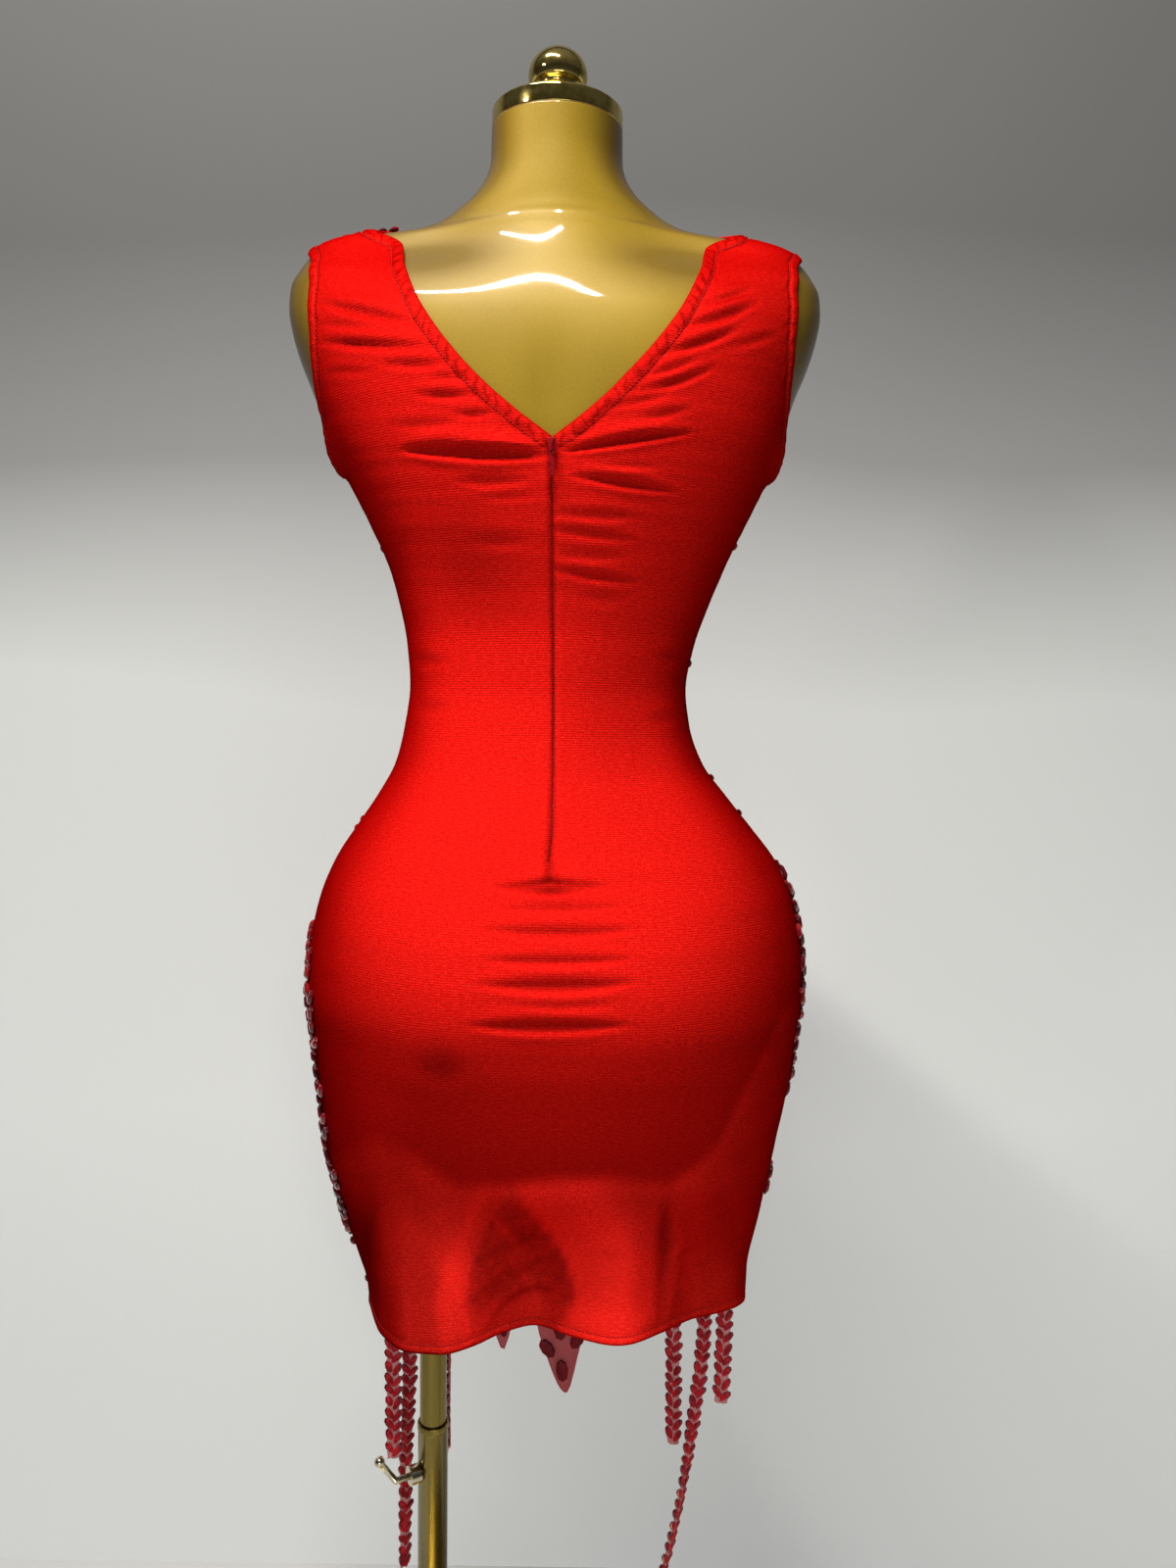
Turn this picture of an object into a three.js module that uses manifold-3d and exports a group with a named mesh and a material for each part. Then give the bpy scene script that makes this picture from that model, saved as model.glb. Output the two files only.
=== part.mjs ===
// A sleeveless mesh dress with a jersey back, a centre-back zip and hanging strips,
// on a limbless torso form on a telescoping stand. Millimetres, +Z up, origin in the
// middle of the base's underside. The dress back faces -Y, its left side -X.
import * as THREE from "three";
import { mergeVertices } from "three/addons/utils/BufferGeometryUtils.js";
import Module from "manifold-3d";

const wasm = await Module();
wasm.setup();

// ---------------------------------------------------------------- driving sizes
const CLOTH_GAP = 2.0; // form surface to the cloth's inner face
const BACK_WALL = 1.2; // stretch jersey, with its turned edges
const FRONT_WALL = 1.6; // mesh with its stones
const SEAM = 0.15; // half the space between two pieces at a seam
const HEM_Z = 585;
const ZIP_END_Z = 947;
const HANG_Z = 715; // below this the cloth hangs free of the form

const BASE_R = 190,
  BASE_H = 8;
const POLE_X = -87.5;
const INNER_R = 10.6,
  OUTER_BORE = 10.95,
  OUTER_R = 12.0,
  OUTER_TOP = 474;
const CLAMP_Z = 433,
  CLAMP_TURN = 30; // degrees that the screw's axis turns from -X towards -Y
const NECK_R = 48;

// ---------------------------------------------------------------- section tables
const SECTION = ["z", "cx", "half", "back", "front", "pow"];
// the form's own closed lower end
const FORM_END = [
  [690, 5, 146, 74, 62, 2.2],
  [692.5, 5, 155, 82, 69, 2.2],
  [700, 5, 162, 90, 75, 2.2],
  [725, 5, 168.5, 99, 82, 2.2],
  [760, 6.5, 176, 109, 90, 2.25],
  [800, 7, 182.5, 118, 96, 2.25],
  [835, 7, 186.2, 123, 99, 2.25],
];
// the hanging skirt, as an inner size that the cloth lies outside of
const SKIRT = [
  [585, 13, 146, 56, 90, 2.3],
  [602, 12, 147.5, 62, 91, 2.3],
  [618, 8, 152, 67, 91, 2.3],
  [634, 6, 157, 72, 91, 2.3],
  [660, 5.5, 163, 79, 91, 2.3],
  [690, 5, 168, 89, 91, 2.3],
  [722, 5, 173.5, 101, 92, 2.25],
  [753, 6.5, 177.5, 111, 94, 2.25],
  [781, 7, 181, 117.5, 96.5, 2.25],
  [806, 7, 183.3, 122, 98.5, 2.25],
  [835, 7, 186.6, 124, 99.5, 2.25],
];
// what the form and the dress share
const BODY = [
  [860, 7.5, 186, 123, 99.5, 2.25],
  [885, 7.5, 183, 119.5, 99, 2.25],
  [910, 7.5, 177, 112, 98, 2.25],
  [935, 7, 166, 103, 96, 2.2],
  [960, 5.5, 148.5, 94, 94, 2.2],
  [985, 3.5, 130, 86, 91, 2.2],
  [1010, 0.5, 114, 79, 88, 2.2],
  [1040, -1.5, 105, 73.5, 86, 2.2],
  [1068, -1.5, 101.6, 71, 86, 2.2],
  [1100, 0, 105.5, 71.5, 89, 2.2],
  [1130, 2, 113.5, 75, 93, 2.2],
  [1160, 3.5, 124, 81, 98, 2.2],
  [1190, 3.5, 138, 87, 101, 2.2],
  [1215, 3, 150.5, 90.5, 101, 2.2],
  [1230, 2.5, 158, 91.5, 99, 2.2],
  [1245, 2, 165, 92, 96, 2.2],
  [1265, 1, 172.5, 91, 91, 2.2],
  [1285, 0, 180, 89, 86, 2.2],
  [1305, 0, 188, 86, 81, 2.2],
  [1325, 0, 193.8, 81.5, 75, 2.2],
  [1342, 0, 196.5, 76, 69, 2.15],
  [1357, 0, 195.5, 71, 64, 2.1],
  [1368, 0, 190, 67.5, 60, 2.05],
  [1377, 0, 183.5, 65, 58, 2],
  [1384, 0, 175, 63, 56, 2],
  [1389, 0, 161, 61.5, 54.5, 2],
  [1392.5, 0, 146, 60.5, 53.5, 2],
  [1395.5, 0, 128, 59.5, 53, 2],
  [1398, 0, 112, 58.5, 52.5, 2],
  [1402, 0, 96, 57.5, 52, 2],
  [1407, 0, 84, 56, 51.5, 2],
  [1413, 0, 74.5, 54.5, 51, 2],
  [1420, 0, 65, 53, 50.5, 2],
  [1428, 0, 57.5, 51.5, 50, 2],
  [1438, 0, 51.5, 50, 49, 2],
  [1450, 0, 48.5, 48.8, 48.5, 2],
  [1473, 0, NECK_R, NECK_R, NECK_R, 2],
];
// soft mounds of a general figure: side is +1 in front, -1 behind
const MOUND = ["x", "z", "rx", "rz", "height", "side"];
const MOUNDS = [
  [78, 1192, 52, 50, 20, 1],
  [-78, 1192, 52, 50, 20, 1],
  [78, 838, 62, 62, 7, -1],
  [-70, 838, 62, 62, 7, -1],
  [88, 1290, 50, 60, 4, -1],
  [-88, 1290, 50, 60, 4, -1],
  [100, 1388, 65, 30, -26, -1],
  [-100, 1388, 65, 30, -26, -1],
];
// the hem's line in plan behind, and how low the front hem's points reach
const HEM_PLAN = ["x", "y"];
const HEM_BACK = [
  [-150, 0],
  [-133, -32],
  [-114, -74],
  [-92, -92],
  [-72, -90],
  [-50, -77],
  [-28, -57],
  [-4, -46],
  [28, -62],
  [58, -72],
  [90, -57],
  [118, -35],
  [150, -24],
  [170, 0],
];
const HEM_DROP = ["x", "z"];
const HEM_FRONT = [
  [-200, 585],
  [-66, 585],
  [-55, 545],
  [-37, 481],
  [-27, 512],
  [-14, 524],
  [-4, 487],
  [19, 437],
  [30, 478],
  [40, 530],
  [52, 585],
  [200, 585],
];
// edges of the cut, as half-widths: from the zip's top or the armpit to the shoulder
const EDGE = ["half_x", "z"];
const V_BACK = [
  [1.2, 1236],
  [22, 1251.5],
  [42, 1269],
  [62, 1290],
  [80, 1313],
  [92, 1333],
  [100.5, 1352.5],
  [107, 1377],
];
const SCOOP_FRONT = [
  [0, 1290],
  [30, 1293],
  [58, 1306],
  [80, 1326],
  [95, 1349],
  [105, 1376],
];
const ARMHOLE = [
  [160, 1236],
  [163, 1245],
  [166.5, 1260],
  [168.5, 1277],
  [169.5, 1297],
  [170.5, 1320],
  [171.5, 1345],
  [173, 1366],
];
const ARMPIT_Z = 1229;
const SHOULDER_IN = 113,
  SHOULDER_OUT = 174; // ends of the shoulder seam, along the ridge

// hanging strips: centre line in front view, at a depth y; wide is across the line
const STRIP_SIZE = ["name", "y", "across", "through", "points"];
const STRIPS = [
  ["strip_left_outer", 40, 12, 2.6, [[-127, 583.5], [-127, 500], [-126.5, 410]]],
  ["strip_left_inner", 55, 10.5, 2.6, [[-114.5, 583.5], [-115.5, 480], [-118.5, 400], [-119, 300]]],
  ["strip_left_back", 79, 3, 11, [[-84.5, 583.5], [-84.5, 500], [-84, 392]]],
  ["strip_right_inner", 78, 13, 2.6, [[111, 583.5], [112.5, 500], [114.5, 400]]],
  ["strip_right_middle", 60, 11.5, 2.6, [[138.5, 583.5], [136.5, 504], [134, 472], [130, 440], [126.5, 408], [120, 360], [114, 327], [108, 299], [102, 272]]],
  ["strip_right_outer", 42, 13, 2.6, [[152, 583.5], [152, 530], [151, 462]]],
];

// ---------------------------------------------------------------- helpers
const named = (columns, rows) =>
  rows.map((r) => Object.fromEntries(columns.map((c, i) => [c, r[i]])));
const clamp = (v, a, b) => Math.min(b, Math.max(a, v));
const smooth = (a, b, v) => {
  const s = clamp((v - a) / (b - a), 0, 1);
  return s * s * (3 - 2 * s);
};

// a smooth function through a table's rows, without overshoot (monotone cubic)
function through(rows, key, value) {
  const x = rows.map((r) => r[key]),
    y = rows.map((r) => r[value]),
    n = x.length,
    d = [],
    m = [];
  for (let i = 0; i < n - 1; i++) d.push((y[i + 1] - y[i]) / (x[i + 1] - x[i]));
  for (let i = 0; i < n; i++) {
    if (i === 0) m.push(d[0]);
    else if (i === n - 1) m.push(d[n - 2]);
    else if (d[i - 1] * d[i] <= 0) m.push(0);
    else {
      const h0 = x[i] - x[i - 1],
        h1 = x[i + 1] - x[i],
        w0 = 2 * h1 + h0,
        w1 = h1 + 2 * h0;
      m.push((w0 + w1) / (w0 / d[i - 1] + w1 / d[i]));
    }
  }
  return (v) => {
    if (v <= x[0]) return y[0];
    if (v >= x[n - 1]) return y[n - 1];
    let i = 0;
    while (v > x[i + 1]) i++;
    const h = x[i + 1] - x[i],
      s = (v - x[i]) / h;
    return (
      y[i] * (1 + 2 * s) * (1 - s) ** 2 +
      m[i] * h * s * (1 - s) ** 2 +
      y[i + 1] * s * s * (3 - 2 * s) +
      m[i + 1] * h * s * s * (s - 1)
    );
  };
}

// A lofted surface: t runs with the outline's length, a is the angle round the
// section, 0 at the right side, 90 degrees at the centre back, 180 at the left side,
// and beyond 180 or below 0 round the front.
function loft(tables) {
  const rows = named(SECTION, tables);
  let t = 0;
  rows.forEach((r, i) => {
    if (i) t += Math.hypot(r.z - rows[i - 1].z, r.half - rows[i - 1].half);
    r.t = t;
  });
  const f = {};
  for (const k of ["z", "cx", "half", "back", "front", "pow"])
    f[k] = through(rows, "t", k);
  const tOfZ = through(rows, "z", "t");
  return { f, tOfZ, length: t };
}
const formLoft = loft([...FORM_END, ...BODY]);
const dressLoft = loft([...SKIRT, ...BODY]);
const mounds = named(MOUND, MOUNDS);
const hemY = through(named(HEM_PLAN, HEM_BACK), "x", "y");
const hemFrontZ = through(named(HEM_DROP, HEM_FRONT), "x", "z");

function point(l, a, t, waves) {
  const z = l.f.z(t),
    half = l.f.half(t),
    e = 2 / l.f.pow(t),
    c = Math.cos(a),
    s = Math.sin(a),
    x = l.f.cx(t) + half * Math.sign(c) * Math.abs(c) ** e,
    side = s >= 0 ? -1 : 1;
  let y = side * (side < 0 ? l.f.back(t) : l.f.front(t)) * Math.abs(s) ** e;
  for (const m of mounds)
    if (m.side === side)
      y +=
        side *
        m.height *
        Math.abs(s) *
        Math.exp(-(((x - m.x) / m.rx) ** 2) - ((z - m.z) / m.rz) ** 2);
  if (waves && side < 0) {
    const w = 1 - smooth(HEM_Z, HANG_Z, z);
    y = y * (1 - w) + hemY(x) * Math.abs(s) ** 0.25 * w;
  }
  return new THREE.Vector3(x, y, z);
}
// the angle at which the section at t has the half-width x
const angleAt = (l, x, t) =>
  Math.acos(clamp(x / l.f.half(t), 0, 1) ** (l.f.pow(t) / 2));
// the t at which the outline has this half-width, above the arm
function tAtHalf(l, half) {
  let a = l.tOfZ(1345),
    b = l.length;
  for (let i = 0; i < 40; i++) {
    const m = (a + b) / 2;
    if (l.f.half(m) > half) a = m;
    else b = m;
  }
  return a;
}
function spot(l, a, t, waves) {
  const p = point(l, a, t, waves),
    ea = 0.02,
    et = 2.0,
    da = point(l, a + ea, t, waves).sub(point(l, a - ea, t, waves)),
    dt = point(l, a, Math.min(t + et, l.length), waves).sub(
      point(l, a, Math.max(t - et, 0), waves),
    ),
    n = da.cross(dt).normalize();
  if (n.x * (p.x - l.f.cx(t)) + n.y * p.y < 0) n.negate();
  return { p, n };
}

// One closed wall from quads of spots: outer face, inner face and the rim between.
function wall(spots, quads, inner, outer) {
  const at = (s, d) => s.p.clone().addScaledVector(s.n, d);
  const count = spots.length,
    points = [
      ...spots.map((s) => at(s, outer)),
      ...spots.map((s) => at(s, inner)),
    ],
    faces = [],
    edges = new Set();
  for (const q of quads)
    q.forEach((a, i) => edges.add(a + "," + q[(i + 1) % q.length]));
  const tri = (a, b, c) => faces.push(a, b, c);
  for (const q of quads)
    for (let i = 1; i < q.length - 1; i++) {
      tri(q[0], q[i], q[i + 1]);
      tri(q[0] + count, q[i + 1] + count, q[i] + count);
    }
  for (const e of edges) {
    const [a, b] = e.split(",").map(Number);
    if (edges.has(b + "," + a)) continue;
    tri(b, a, a + count);
    tri(b, a + count, b + count);
  }
  const g = new THREE.BufferGeometry();
  g.setAttribute(
    "position",
    new THREE.Float32BufferAttribute(
      points.flatMap((v) => [v.x, v.y, v.z]),
      3,
    ),
  );
  g.setIndex(faces);
  g.computeVertexNormals();
  return g;
}

const solid = (g) => {
  const h = g.clone();
  for (const k of Object.keys(h.attributes)) if (k !== "position") h.deleteAttribute(k);
  const m = mergeVertices(h, 1e-4);
  return new wasm.Manifold(
    new wasm.Mesh({
      numProp: 3,
      vertProperties: m.attributes.position.array,
      triVerts: new Uint32Array(m.index.array),
    }),
  );
};
const geometryOf = (s) => {
  const m = s.getMesh(),
    g = new THREE.BufferGeometry();
  const v = new Float32Array(m.numVert * 3);
  for (let i = 0; i < m.numVert; i++)
    v.set(m.vertProperties.subarray(i * m.numProp, i * m.numProp + 3), i * 3);
  g.setAttribute("position", new THREE.BufferAttribute(v, 3));
  g.setIndex(new THREE.BufferAttribute(new Uint32Array(m.triVerts), 1));
  g.computeVertexNormals();
  return g;
};
const lathe = (profile, sides, phase = 0) => {
  const g = new THREE.LatheGeometry(
    profile.map(([r, z]) => new THREE.Vector2(r, z)),
    sides,
    phase,
  );
  g.rotateX(Math.PI / 2); // its axis becomes Z
  return g;
};

// ---------------------------------------------------------------- materials
const jersey = new THREE.MeshStandardMaterial({ color: 0xc4100c, roughness: 0.55, metalness: 0, side: THREE.DoubleSide });
const mesh = new THREE.MeshStandardMaterial({ color: 0x6e0f1c, roughness: 0.6, metalness: 0, side: THREE.DoubleSide });
const stones = new THREE.MeshStandardMaterial({ color: 0x4a0a12, roughness: 0.2, metalness: 0 });
const zipPlastic = new THREE.MeshStandardMaterial({ color: 0x9c1220, roughness: 0.4, metalness: 0 });
const zipMetal = new THREE.MeshStandardMaterial({ color: 0x7a1528, roughness: 0.35, metalness: 0.3 });
const gold = new THREE.MeshStandardMaterial({ color: 0xb08340, roughness: 0.25, metalness: 0.6 });
const brass = new THREE.MeshStandardMaterial({ color: 0xc0a060, roughness: 0.15, metalness: 1 });

const dressOnForm = new THREE.Group();
const add = (name, geometry, material) => {
  const m = new THREE.Mesh(geometry, material);
  m.name = name;
  dressOnForm.add(m);
  return m;
};

// ---------------------------------------------------------------- the form
{
  const AROUND = 32;
  const spots = [],
    quads = [];
  // a ring at each of the table's rows, but every second one from bust to armpit
  const ts = named(SECTION, [...FORM_END, ...BODY])
    .map((r, i, all) => ({ t: formLoft.tOfZ(r.z), z: r.z, i, last: i === all.length - 1 }))
    .filter((r) => r.last || r.z < 1180 || r.z > 1340 || r.i % 2 === 0)
    .map((r) => r.t);
  ts.forEach((t) => {
    for (let j = 0; j < AROUND; j++)
      spots.push(point(formLoft, (j / AROUND) * 2 * Math.PI, t, false));
  });
  const id = (i, j) => i * AROUND + (j % AROUND);
  for (let i = 0; i < ts.length - 1; i++)
    for (let j = 0; j < AROUND; j++)
      quads.push([id(i, j), id(i + 1, j), id(i + 1, j + 1), id(i, j + 1)]);
  const faces = quads.flatMap(([a, b, c, d]) => [a, b, c, a, c, d]);
  const low = spots.length,
    high = low + 1;
  spots.push(new THREE.Vector3(5, 0, formLoft.f.z(0)));
  spots.push(new THREE.Vector3(0, 0, formLoft.f.z(formLoft.length)));
  for (let j = 0; j < AROUND; j++) {
    faces.push(low, id(0, j), id(0, j + 1));
    faces.push(high, id(ts.length - 1, j + 1), id(ts.length - 1, j));
  }
  const g = new THREE.BufferGeometry();
  g.setAttribute("position", new THREE.Float32BufferAttribute(spots.flatMap((v) => [v.x, v.y, v.z]), 3));
  g.setIndex(faces);
  g.computeVertexNormals();
  add("form_torso", g, gold);
}
{
  // a turned cap on the neck, and the knob on it
  const z = 1473.3;
  add(
    "neck_cap",
    lathe([[0, z], [NECK_R - 0.6, z], [NECK_R, z + 1], [NECK_R, z + 11.5], [NECK_R - 1.2, z + 13], [22, z + 14.5], [0, z + 14.5]], 32),
    brass,
  );
  const k = z + 14.8;
  add(
    "finial",
    lathe([[0, k], [16, k], [15.5, k + 5.5], [17, k + 12], [18.2, k + 14], [18.2, k + 16], [20.2, k + 18.5], [21.7, k + 23.8], [20.8, k + 29.6], [17.4, k + 35.2], [12.8, k + 39.6], [6.8, k + 42.3], [0, k + 43.2]], 24),
    brass,
  );
}

// ---------------------------------------------------------------- the dress
const SIDES_ROWS = 27, // rows from the hem to the armpit
  TOP_ROWS = 11; // rows from the armpit to the shoulder seam
// the zip's line behind, in x at each height, runs straight where the waist leans
const ZIP_COLUMNS = ["z", "x"];
const ZIP_LINE = [
  [560, 6],
  [700, 5],
  [942, 4],
  [970, 6],
  [1136, 4],
  [1235, 2.5],
  [1260, 2.4],
];
const zipX = through(named(ZIP_COLUMNS, ZIP_LINE), "z", "x");
// the angle behind of a place this far along X from the zip's line
function zipAngle(t, off) {
  const d = zipX(dressLoft.f.z(t)) + off - dressLoft.f.cx(t);
  return Math.acos(
    Math.sign(d) * (Math.abs(d) / dressLoft.f.half(t)) ** (dressLoft.f.pow(t) / 2),
  );
}

// The edge's path in (angle, t), from its first row to the shoulder.
function edgePath(l, table, end) {
  const rows = named(EDGE, table).map((r) => {
    const t = l.tOfZ(r.z);
    return [angleAt(l, r.half_x, t), t];
  });
  return [...rows, [0, end]];
}
// the point a share s of the way along a path, by its length on the surface
function along(path, l) {
  const at = path.map(([a, t]) => point(l, a, t, false)),
    len = [0];
  for (let i = 1; i < at.length; i++) len.push(len[i - 1] + at[i].distanceTo(at[i - 1]));
  const rows = path.map(([a, t], i) => ({ s: len[i] / len[len.length - 1], a, t }));
  const fa = through(rows, "s", "a"),
    ft = through(rows, "s", "t");
  return (s) => [fa(s), ft(s)];
}
const tHalfIn = tAtHalf(dressLoft, SHOULDER_IN),
  tHalfOut = tAtHalf(dressLoft, SHOULDER_OUT);

// One panel of the dress. columns counts half the panel; behind is -1 at the back and
// 1 in front; the back has the zip's slit from the neck down to slitZ.
function panel({ columns, necktable, behind, slitZ, inner, outer, hemZ }) {
  const armhole = along(
    [[0, dressLoft.tOfZ(ARMPIT_Z)], ...edgePath(dressLoft, ARMHOLE, tHalfOut)],
    dressLoft,
  );
  const neckStart = necktable[0][1];
  const neck = along(
    [[Math.PI / 2, dressLoft.tOfZ(neckStart)], ...edgePath(dressLoft, necktable, tHalfIn).slice(1)],
    dressLoft,
  );
  // each row: its two ends, as (angle, t), and its share of the way
  const rows = [];
  const lowT = 0,
    pitT = dressLoft.tOfZ(ARMPIT_Z),
    neckT = dressLoft.tOfZ(neckStart);
  for (let i = 0; i <= SIDES_ROWS; i++) {
    const s = i / SIDES_ROWS,
      blend = smooth(0.6, 1, s);
    const t = lowT + (pitT - lowT) * s;
    rows.push({
      inner: [Math.PI / 2, t + (neckT - pitT) * blend],
      outer: [0, t],
      bend: 1,
    });
  }
  for (let i = 1; i <= TOP_ROWS; i++) {
    const s = 1 - (1 - i / TOP_ROWS) ** 1.35; // closer together towards the ridge
    rows.push({ inner: neck(s), outer: armhole(s), bend: 1 - s });
  }
  const spots = [],
    quads = [],
    grid = [];
  rows.forEach((row, i) => {
    const line = [];
    for (let side = 0; side < 2; side++)
      for (let j = 0; j <= columns; j++) {
        const u = j / columns; // 0 at the centre, 1 at the side
        let a = row.inner[0] + (row.outer[0] - row.inner[0]) * u,
          t = row.inner[1] + (row.outer[1] - row.inner[1]) * u;
        let angle = side === 0 ? a : Math.PI - a; // right half, then left half
        if (behind < 0 && i <= SIDES_ROWS)
          angle += (zipAngle(t, 0) - Math.PI / 2) * (1 - u) ** 1.5;
        let s;
        if (behind < 0) s = spot(dressLoft, angle, t, true);
        else s = spot(dressLoft, -angle, t, false);
        const top = i === rows.length - 1;
        if (j === columns && (i <= SIDES_ROWS || top)) {
          s.n.y = 0;
          s.n.normalize();
          s.p.y = behind * SEAM;
        } else if (top) {
          s.n.y = 0;
          s.n.normalize();
          s.p.y = behind * SEAM;
        }
        const centre = j === 0;
        if (hemZ && s.p.z < HANG_Z) {
          // the lower rows stretch down to the hem's own line
          const w = (HANG_Z - s.p.z) / (HANG_Z - HEM_Z);
          s.p.z += (hemZ(s.p.x) - HEM_Z) * w * w;
        }
        if (centre && i <= SIDES_ROWS && side === 1 && !(slitZ && s.p.z > slitZ)) {
          line.push(line[0]); // the two halves share their centre
          continue;
        }
        if (centre && slitZ && s.p.z > slitZ && i <= SIDES_ROWS) {
          s.p.x += (side === 0 ? 1 : -1) * SEAM * 2;
        }
        if (centre && i > SIDES_ROWS) {
          // neck edge, free on both sides
        }
        line.push(spots.length);
        spots.push(s);
      }
    grid.push(line);
  });
  const w = columns + 1;
  for (let i = 0; i < grid.length - 1; i++)
    for (let side = 0; side < 2; side++)
      for (let j = 0; j < columns; j++) {
        const a = grid[i][side * w + j],
          b = grid[i][side * w + j + 1],
          c = grid[i + 1][side * w + j + 1],
          d = grid[i + 1][side * w + j];
        const flip = (behind < 0) === (side === 0);
        quads.push(flip ? [a, b, c, d] : [a, d, c, b]);
      }
  return wall(spots, quads, inner, outer);
}
add(
  "back_panel",
  panel({
    columns: 9,
    necktable: V_BACK,
    behind: -1,
    slitZ: ZIP_END_Z,
    inner: CLOTH_GAP,
    outer: CLOTH_GAP + BACK_WALL,
  }),
  jersey,
);
add(
  "front_panel",
  panel({
    columns: 9,
    necktable: SCOOP_FRONT,
    behind: 1,
    inner: CLOTH_GAP,
    outer: CLOTH_GAP + FRONT_WALL,
    hemZ: hemFrontZ,
  }),
  mesh,
);

// ---------------------------------------------------------------- the zip
{
  // the tape behind the slit, with its closed line of coil
  const spots = [],
    quads = [];
  const N = 16,
    half = 9,
    z0 = ZIP_END_Z - 8,
    z1 = 1231;
  for (let i = 0; i <= N; i++) {
    const z = z0 + ((z1 - z0) * i) / N,
      t = dressLoft.tOfZ(z);
    for (const x of [half, 0, -half])
      spots.push(spot(dressLoft, zipAngle(t, x), t, true));
  }
  for (let i = 0; i < N; i++)
    for (let j = 0; j < 2; j++) {
      const a = i * 3 + j;
      quads.push([a, a + 3, a + 4, a + 1]);
    }
  add("zip_tape", wall(spots, quads, 0.75, 1.6), zipPlastic);
}
const SLIDER_Z = 1230;
const sliderSpot = spot(dressLoft, Math.PI / 2, dressLoft.tOfZ(SLIDER_Z), true);
const lean = Math.atan2(sliderSpot.n.z, -sliderSpot.n.y); // the slider lies along the cloth
const sliderAt = sliderSpot.p.clone().addScaledVector(sliderSpot.n, CLOTH_GAP + BACK_WALL + 0.35);
{
  // local frame: X across, Z up along the cloth, -Y out of it
  const place = (g) => {
    g.rotateX(-lean);
    g.translate(sliderAt.x, sliderAt.y, sliderAt.z);
    return g;
  };
  const BODY_THICK = 1.5,
    BAR_IN = 3.8,
    BAR_OUT = 4.9,
    BAR_WIDE = 1.3,
    POST_TALL = 1.1,
    POST_LOW = -4.0,
    POST_HIGH = 3.7;
  const shield = new THREE.Shape();
  shield.moveTo(-3.1, 4.0);
  shield.quadraticCurveTo(0, 5.6, 3.1, 4.0);
  shield.lineTo(2.6, -3.6);
  shield.quadraticCurveTo(0, -5.6, -2.6, -3.6);
  shield.closePath();
  const body = new THREE.ExtrudeGeometry(shield, { depth: BODY_THICK, bevelEnabled: false, curveSegments: 5 });
  body.rotateX(Math.PI / 2); // lies in XZ, its thickness towards -Y
  const block = (wide, y0, y1, z0, z1) => {
    const g = new THREE.BoxGeometry(wide, y1 - y0, z1 - z0);
    g.translate(0, -(y0 + y1) / 2, (z0 + z1) / 2);
    return solid(g);
  };
  // the bridge: two posts, and a bar up the slider between their tops
  const s = solid(body)
    .add(block(BAR_WIDE, 1.2, BAR_OUT, POST_LOW, POST_LOW + POST_TALL))
    .add(block(BAR_WIDE, 1.2, BAR_OUT, POST_HIGH - POST_TALL, POST_HIGH))
    .add(block(BAR_WIDE, BAR_IN, BAR_OUT, POST_LOW, POST_HIGH));
  add("zip_slider", place(geometryOf(s)), zipMetal);

  // the pull: a slim drop whose eye's rim lies under the bar, round the lower post
  const PIVOT_Z = -2.0,
    TAB_THICK = 1.2,
    RIM = 0.6,
    EYE_LONG = 3.2,
    EYE_HALF = 1.15,
    TAB_END = -21.2;
  const tab = new THREE.Shape();
  tab.moveTo(-1.5, PIVOT_Z + RIM);
  tab.lineTo(1.5, PIVOT_Z + RIM);
  tab.quadraticCurveTo(2.1, PIVOT_Z + RIM, 2.1, PIVOT_Z - 0.6);
  tab.quadraticCurveTo(1.7, -10, 2.1, TAB_END + 4);
  tab.quadraticCurveTo(1.9, TAB_END, 0, TAB_END);
  tab.quadraticCurveTo(-1.9, TAB_END, -2.1, TAB_END + 4);
  tab.quadraticCurveTo(-1.7, -10, -2.1, PIVOT_Z - 0.6);
  tab.quadraticCurveTo(-2.1, PIVOT_Z + RIM, -1.5, PIVOT_Z + RIM);
  const eye = new THREE.Path();
  eye.moveTo(-EYE_HALF, PIVOT_Z - RIM);
  eye.lineTo(-EYE_HALF, PIVOT_Z - RIM - EYE_LONG);
  eye.lineTo(EYE_HALF, PIVOT_Z - RIM - EYE_LONG);
  eye.lineTo(EYE_HALF, PIVOT_Z - RIM);
  eye.closePath();
  tab.holes.push(eye);
  const g = new THREE.ExtrudeGeometry(tab, { depth: TAB_THICK, bevelEnabled: false, curveSegments: 5 });
  g.rotateX(Math.PI / 2);
  g.translate(0, -(BODY_THICK + BAR_IN) / 2 + TAB_THICK / 2, 0);
  add("zip_pull", place(g), zipMetal);
}

// ---------------------------------------------------------------- hanging strips
for (const s of named(STRIP_SIZE, STRIPS)) {
  const edge = [],
    back = [];
  s.points.forEach(([x, z], i) => {
    const p = s.points[Math.max(0, i - 1)],
      q = s.points[Math.min(s.points.length - 1, i + 1)],
      d = new THREE.Vector2(q[0] - p[0], q[1] - p[1]).normalize();
    if (i === 0) d.set(0, -1);
    edge.push(new THREE.Vector2(x - (d.y * s.across) / 2, z + (d.x * s.across) / 2));
    back.unshift(new THREE.Vector2(x + (d.y * s.across) / 2, z - (d.x * s.across) / 2));
  });
  const outline = new THREE.Shape([...edge, ...back]);
  const g = new THREE.ExtrudeGeometry(outline, { depth: s.through, bevelEnabled: false });
  g.rotateX(Math.PI / 2);
  g.translate(0, s.y + s.through / 2, 0);
  add(s.name, g, stones);
}

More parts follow.
